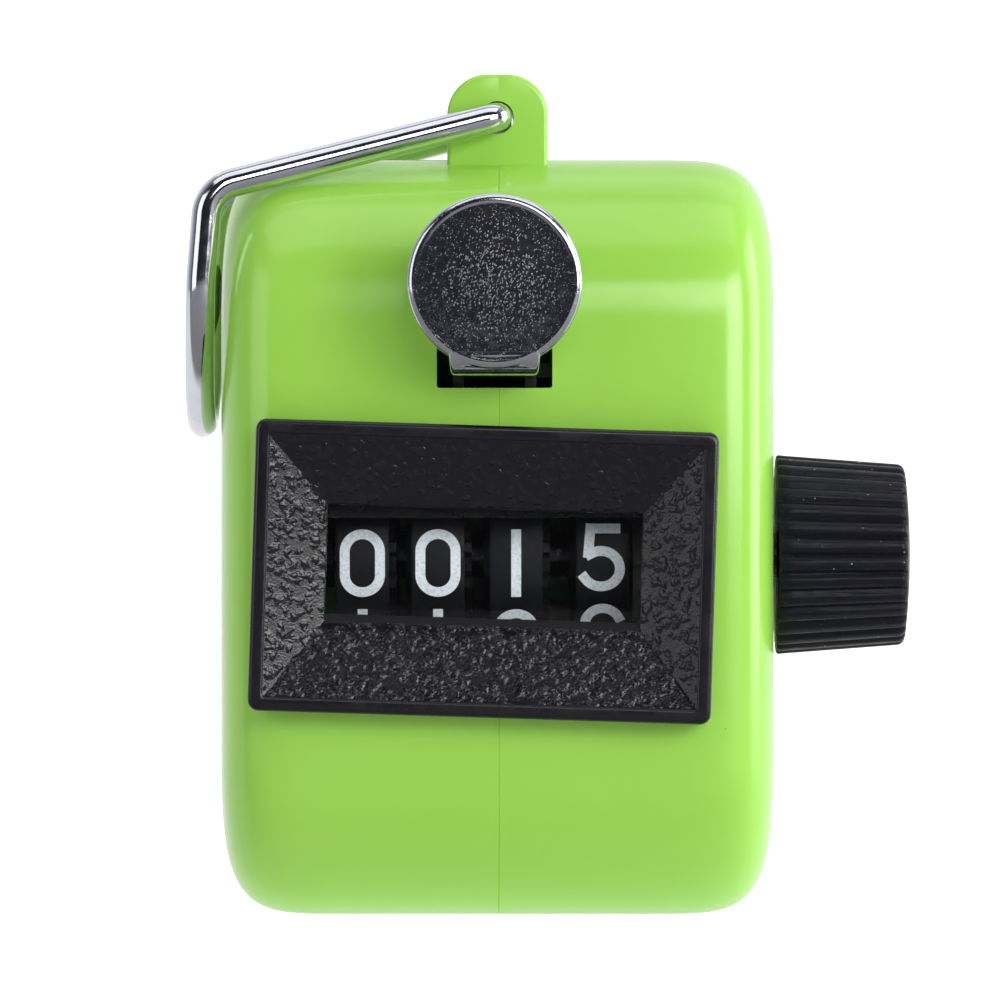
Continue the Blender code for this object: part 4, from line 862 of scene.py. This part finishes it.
def strip_section(middle_y, middle_z, out_y, out_z, half_width):
    """A rounded strip section: out points from the middle of the sheet to its outer face."""
    half, corner = SHEET / 2, 0.28 * MM
    ring = []
    for across, through, start in ((1, 1, 0), (-1, 1, 90), (-1, -1, 180), (1, -1, 270)):
        for i in range(5):
            angle = math.radians(start + 90 * i / 4)
            u = across * (half_width - corner) + corner * math.cos(angle)
            v = through * (half - corner) + corner * math.sin(angle)
            ring.append((LEVER_MIDDLE + u, middle_y + out_y * v, middle_z + out_z * v))
    return ring


def neck_and_arm(bm):
    """The strip from the disc's middle down round the bend and back through the slot."""
    middle = BEND_INSIDE + SHEET / 2
    bend_y = DISC_BACK + BEND_INSIDE
    bend_z = ARM_UNDERSIDE + SHEET + BEND_INSIDE
    rings = [strip_section(DISC_BACK - SHEET / 2, DISC_HEIGHT - DISC_RADIUS * 0.5, -1, 0, NECK_WIDTH / 2)]
    rings.append(strip_section(DISC_BACK - SHEET / 2, bend_z + 1.2 * MM, -1, 0, NECK_WIDTH / 2))
    steps = 14
    for i in range(steps + 1):
        angle = math.pi / 2 * i / steps
        share = i / steps
        width = NECK_WIDTH / 2 + (ARM_WIDTH - NECK_WIDTH) / 2 * share
        rings.append(strip_section(bend_y - middle * math.cos(angle), bend_z - middle * math.sin(angle),
                                   -math.cos(angle), -math.sin(angle), width))
    rings.append(strip_section(-7.0 * MM, ARM_UNDERSIDE + SHEET / 2, 0, -1, ARM_WIDTH / 2))
    skin(bm, rings)


def flat_plate(bm, plan, low, high):
    skin(bm, [[(x, y, z) for x, y in plan] for z in (low, high)])


def lever_inside(bm):
    """Crossbar and pawl finger, in one flat plate."""
    top = ARM_UNDERSIDE + SHEET
    bar_front, bar_back = CASE_FRONT + CASE_WALL + 2.0 * MM, CASE_FRONT + CASE_WALL + 5.8 * MM
    left = LEVER_MIDDLE - ARM_WIDTH / 2
    finger_end = PAWL_PIN.y + 1.5 * MM
    plan = [(left, bar_front), (FINGER_RIGHT, bar_front), (FINGER_RIGHT, finger_end),
            (FINGER_LEFT, finger_end), (FINGER_LEFT, bar_back), (left, bar_back)]
    flat_plate(bm, plan, ARM_UNDERSIDE, top)


def lever_tabs(bm):
    """Two ears on the pin, and the tab that carries the pawl."""
    rise = ARM_UNDERSIDE + SHEET / 2
    for start, pin, radius in ((-3.15 * MM, LEVER_PIN, 1.45 * MM), (1.95 * MM, LEVER_PIN, 1.45 * MM),
                               (11.16 * MM, PAWL_PIN, 1.3 * MM)):
        end = start + TAB_THICKNESS
        outline = [(pin.y - radius, rise)]
        for i in range(17):
            angle = math.pi + math.pi * i / 16
            outline.append((pin.y + radius * math.cos(angle), pin.z + radius * math.sin(angle)))
        outline.append((pin.y + radius, rise))
        skin(bm, [[(x, y, z) for y, z in outline] for x in (start, end)])


def lever_holes(bm):
    pin_line = [(LEVER_MIDDLE - 5 * MM, PIN_HOLE), (LEVER_MIDDLE + 5 * MM, PIN_HOLE)]
    tube_along_x(bm, pin_line, LEVER_PIN.y, LEVER_PIN.z, 32)
    tube_along_x(bm, [(11.0 * MM, RIVET_HOLE), (13.0 * MM, RIVET_HOLE)], PAWL_PIN.y, PAWL_PIN.z, 32)


def speckled_chrome():
    """Bright plate over sheet that was not polished flat: fine pits that catch the light."""
    finish, tree, shader = new_finish("speckled chrome plate", Metallic=1.0)
    smut = noise(tree, 600.0, 6.0, roughness=0.7)
    two_colours(tree, shader, smut, shade(CHROME, 0.86), CHROME)
    gloss = use(tree, patchy_gloss, Size=0.5, Smooth=0.07, Dull=0.13)
    pits = use(tree, specks, Size=0.12, Share=1.0, Radius=0.50)
    rough = maths(tree, "MAXIMUM", maths(tree, "MULTIPLY", pits, 0.27), gloss)
    tree.links.new(rough, shader.inputs["Roughness"])
    raise_from(tree, shader, pits, 0.0025 * MM)
    return finish


def inside_shade_plate():
    """Painted shade: the chrome lever's faces inside the case are made near-black, as the case shades them.
    """
    finish, tree, shader = new_finish("painted inside shade", Metallic=1.0)
    # The near-black colour is painted shade; the noise only varies it a little.
    shade_tone = noise(tree, 900.0, 4.0)
    two_colours(tree, shader, shade_tone, (0.03, 0.03, 0.03), (0.09, 0.09, 0.095))
    vary_gloss(tree, shader, 0.8, 0.35, 0.5)
    return finish


lever = None
for name, build in (("disc", disc_mesh), ("neck", neck_and_arm),
                    ("inside", lever_inside), ("tabs", lever_tabs)):
    shape = bmesh.new()
    build(shape)
    if lever is None:
        lever = as_object(as_mesh(shape, "lever"), "lever")
    else:
        carve(lever, as_mesh(shape, name), "UNION", 40.0)
holes = bmesh.new()
lever_holes(holes)
carve(lever, as_mesh(holes, "holes"), "DIFFERENCE", 40.0)
dress(lever, speckled_chrome(), inside_shade_plate())
# Faces inside the case take the second finish, the painted shade.
for face in lever.data.polygons:
    face.material_index = int(face.center.y > CASE_FRONT + 0.6 * MM)
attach(lever, "lever")
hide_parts("thumb_lever")


# ------------------------------------------------------------------ case screws
# Three small pan-head screws in bright steel with a cross recess, put in from the left and driven
# into the tubes of the right half. Only their heads can be seen, deep in their holes.

SCREW_RADIUS = 1.0 * MM
SCREW_HEAD_RADIUS = 1.9 * MM
SCREW_HEAD_HEIGHT = 1.3 * MM
RECESS_LONG, RECESS_WIDE, RECESS_DEEP = 1.1 * MM, 0.28 * MM, 0.7 * MM

screw_steel = drawn_steel("bright steel", STEEL)
for name, place in SCREWS.items():
    head_seat = SCREW_SEAT - 0.3 * MM
    top = head_seat - SCREW_HEAD_HEIGHT
    places = [(top, SCREW_HEAD_RADIUS * 0.45)]
    for angle in quarter_turn(8, 1):
        places.append((top + SCREW_HEAD_HEIGHT * 0.8 * (1 - math.cos(angle)),
                       SCREW_HEAD_RADIUS * (0.45 + 0.55 * math.sin(angle))))
    places += [(head_seat, SCREW_HEAD_RADIUS), (head_seat, SCREW_RADIUS),
               (SCREW_SEAT + SCREW_LENGTH - 1.2 * MM, SCREW_RADIUS),
               (SCREW_SEAT + SCREW_LENGTH, SCREW_RADIUS * 0.4)]
    shape = bmesh.new()
    tube_along_x(shape, places, place.y, place.z, 40)
    screw = as_object(as_mesh(shape, name + "_pan_head"), name + "_pan_head")
    for along_y, along_z in ((RECESS_LONG, RECESS_WIDE), (RECESS_WIDE, RECESS_LONG)):
        slot = bmesh.new()
        skin(slot, [[(x, place.y + u * along_y * taper, place.z + v * along_z * taper)
                     for u, v in ((-1, -1), (1, -1), (1, 1), (-1, 1))]
                    for x, taper in ((top - 0.2 * MM, 1.0), (top + RECESS_DEEP, 0.55))])
        carve(screw, as_mesh(slot, "slot"), "DIFFERENCE")
    dress(screw, screw_steel)
    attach(screw, "case")
    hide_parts(name)


# ------------------------------------------------------------------ wire ring
# Chrome plated 2 mm spring wire, bent cold: two ends turned into the ear, two sloping shoulders
# over the case, two legs down its left side and a round loop at the bottom for the finger.

WIRE_RADIUS = 1.03 * MM
RING_MIDDLE_Y = (EAR_FRONT + EAR_BACK) / 2
RING_LEG = (EAR_BACK - EAR_FRONT) / 2 + 0.28 * MM + WIRE_RADIUS
RING_SIDE = -(CASE_HALF_WIDTH + 0.45 * MM + WIRE_RADIUS)
RING_DROP = 5.31 * MM
RING_HALF_DEPTH = 10.2 * MM
RING_LENGTH = 21.8 * MM
RING_CORNER = 2.6 * MM
RING_EYE_CORNER = 1.2 * MM
RING_STUB = 3.0 * MM


def bend(before, corner, after, radius, steps):
    """Points of the arc that rounds the corner between two straight runs."""
    into, out = (before - corner).normalized(), (after - corner).normalized()
    half = into.angle(out) / 2
    centre = corner + (into + out).normalized() * (radius / math.sin(half))
    first = corner + into * (radius / math.tan(half)) - centre
    last = corner + out * (radius / math.tan(half)) - centre
    sweep = first.angle(last)
    across = (last - first * math.cos(sweep)) / math.sin(sweep)
    angles = [sweep * i / steps for i in range(steps + 1)]
    return [centre + first * math.cos(a) + across * math.sin(a) for a in angles]


def ring_line():
    reach = -RING_SIDE - 0.75 * MM
    loop_z = -RING_LENGTH + RING_HALF_DEPTH
    inside = Vector((0, -RING_LEG + WIRE_RADIUS + RING_STUB, 0))
    eye = Vector((0, -RING_LEG, 0))
    shoulder = Vector((-reach, -RING_HALF_DEPTH, -RING_DROP))
    loop_top = Vector((RING_SIDE + 0.25 * MM, -RING_HALF_DEPTH, loop_z))
    front = [inside] + bend(inside, eye, shoulder, RING_EYE_CORNER, 10)
    front += bend(eye, shoulder, loop_top, RING_CORNER, 18) + [loop_top]
    loop = []
    for i in range(1, 60):
        angle = math.pi * i / 60
        x = RING_SIDE + 0.25 * MM * (1 - math.sin(angle))
        loop.append(Vector((x, -RING_HALF_DEPTH * math.cos(angle),
                            loop_z - RING_HALF_DEPTH * math.sin(angle))))
    back = [Vector((p.x, -p.y, p.z)) for p in reversed(front)]
    shift = Vector((0, RING_MIDDLE_Y, EAR_HOLE_HEIGHT))
    return [p + shift for p in front + loop + back]


def wire_mesh(points, radius, sides=36):
    """A round wire along points, its section carried along without twist, with its ends closed flat."""
    bm = bmesh.new()
    rings = []
    along = (points[1] - points[0]).normalized()
    across = along.orthogonal().normalized()
    last = len(points) - 1
    for i, point in enumerate(points):
        ahead = (points[min(i + 1, last)] - points[max(i - 1, 0)]).normalized()
        across = (across - ahead * across.dot(ahead)).normalized()
        up = ahead.cross(across)
        stretch = 1.0
        if 0 < i < last:
            turn = (points[i] - points[i - 1]).angle(points[i + 1] - points[i])
            stretch = 1 / math.cos(turn / 2)
        ring = [point + (across * math.cos(a) + up * math.sin(a)) * radius * (1 + (stretch - 1) * 0.5)
                for a in (math.tau * k / sides for k in range(sides))]
        rings.append(ring)
    skin(bm, rings)
    return bm


def bright_chrome():
    finish, tree, shader = new_finish("bright chrome wire", Metallic=1.0)
    streak = noise(tree, 900.0, 4.0)
    two_colours(tree, shader, streak, shade(CHROME, 0.9), shade(CHROME, 1.12))
    vary_gloss(tree, shader, 1.4, 0.05, 0.14)
    ruffle(tree, shader, 2.5, 0.25, 0.008 * MM)
    return finish


ring = as_object(as_mesh(wire_mesh(ring_line(), WIRE_RADIUS), "ring"), "ring")
dress(ring, bright_chrome())
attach(ring, "ring")
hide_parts("wire_ring")


# ------------------------------------------------------------------ studio
# A white table that curves up into a white wall, six softboxes round the counter and a dark room
# in front, with the camera straight in front of the counter at half its height.

CAMERA_AWAY = 540 * MM
CAMERA_ACROSS = 0.217 * MM
CAMERA_HEIGHT = 29.7 * MM
LENS_LENGTH = 269.0


def cove_mesh():
    """Floor, curve and wall in one sweep."""
    profile = [(-1.5, 0.0), (0.45, 0.0)]
    for angle in quarter_turn(16, 1):
        profile.append((0.45 + 0.35 * math.sin(angle), 0.35 * (1 - math.cos(angle))))
    profile.append((0.8, 1.6))
    bm = bmesh.new()
    rows = [[bm.verts.new((x, y, z - 0.02 * MM)) for x in (-1.6, 1.6)] for y, z in profile]
    for near, far in zip(rows, rows[1:]):
        bm.faces.new((near[0], near[1], far[1], far[0]))
    return as_mesh(bm, "cove")


def front_to_back(tree, output, start, end, dark, bright):
    """A value that rises from dark in front to bright behind."""
    place = add(tree, "ShaderNodeTexCoord").outputs[output]
    depth = add(tree, "ShaderNodeSeparateXYZ", {0: place}).outputs["Y"]
    rise = add(tree, "ShaderNodeMapRange",
               {"Value": depth, "From Min": start, "From Max": end, "To Min": dark, "To Max": bright},
               interpolation_type="SMOOTHSTEP")
    return rise.outputs["Result"]


def white_table():
    """Glowing white to the camera and behind the counter; it gives back less light in front of it."""
    finish, tree, shader = new_finish("white table", Roughness=0.85)
    shader.inputs["Emission Color"].default_value = (1.0, 1.0, 1.0, 1.0)
    rays = add(tree, "ShaderNodeLightPath").outputs
    glow = front_to_back(tree, "Object", -0.022, -0.006, 0.04, 0.75)
    for ray, strength in (("Is Camera Ray", 1.0), ("Is Diffuse Ray", 0.30)):
        glow = maths(tree, "MAXIMUM", maths(tree, "MULTIPLY", rays[ray], strength), glow)
    tree.links.new(glow, shader.inputs["Emission Strength"])
    tone = add(tree, "ShaderNodeTexNoise", {"Scale": 3.0, "Detail": 2.0}).outputs["Fac"]
    toned = two_colours(tree, None, tone, (0.40, 0.40, 0.40), (0.44, 0.44, 0.44))
    two_colours(tree, shader, rays["Is Glossy Ray"], toned, (0.22, 0.22, 0.22))
    return finish


def softbox(name, place, aim, size, power):
    """A rectangular lamp at a place, turned towards its aim."""
    data = bpy.data.lights.new(name, "AREA")
    data.shape = "RECTANGLE"
    data.size, data.size_y = size
    data.energy = power
    lamp = bpy.data.objects.new(name, data)
    bpy.context.scene.collection.objects.link(lamp)
    lamp.location = place
    lamp.rotation_euler = (Vector(aim) - Vector(place)).to_track_quat("-Z", "Y").to_euler()


def room():
    """World light by direction: dark in front, brighter behind."""
    world = bpy.data.worlds.new("room")
    world.use_nodes = True
    tree = world.node_tree
    sky = tree.nodes["Background"]
    sky.inputs["Color"].default_value = (0.90, 0.93, 1.10, 1.0)
    strength = front_to_back(tree, "Generated", -0.45, 0.35, 0.025, 0.5)
    tree.links.new(strength, sky.inputs["Strength"])
    bpy.context.scene.world = world


cove = as_object(cove_mesh(), "cove")
dress(cove, white_table())
softbox("right_softbox", (0.50, -0.42, 0.22), (0, 0, 0.22), (0.34, 0.36), 2.8)
softbox("left_softbox", (-0.52, -0.40, 0.24), (0, 0, 0.24), (0.40, 0.48), 0.9)
softbox("front_softbox", (0.25, -0.80, 0.35), (0, 0, 0.03), (0.5, 0.3), 2.0)
softbox("top_softbox", (0.05, -0.16, 0.65), (0, 0, 0.03), (0.9, 0.4), 1.4)
softbox("edge_softbox", (0.60, 0.12, 0.20), (0, 0, 0.20), (0.3, 0.5), 1.8)
softbox("back_softbox", (0.0, 0.35, 0.75), (0, 0, 0.03), (0.8, 0.3), 0.4)
room()

view = bpy.data.cameras.new("camera")
view.sensor_width = 36.0
view.lens = LENS_LENGTH
view.clip_start, view.clip_end = 0.01, 10.0
camera = bpy.data.objects.new("camera", view)
bpy.context.scene.collection.objects.link(camera)
camera.location = (CAMERA_ACROSS, -CAMERA_AWAY, CAMERA_HEIGHT)
camera.rotation_euler = (math.pi / 2, 0, 0)
bpy.context.scene.camera = camera
bpy.context.scene.view_settings.view_transform = "Standard"
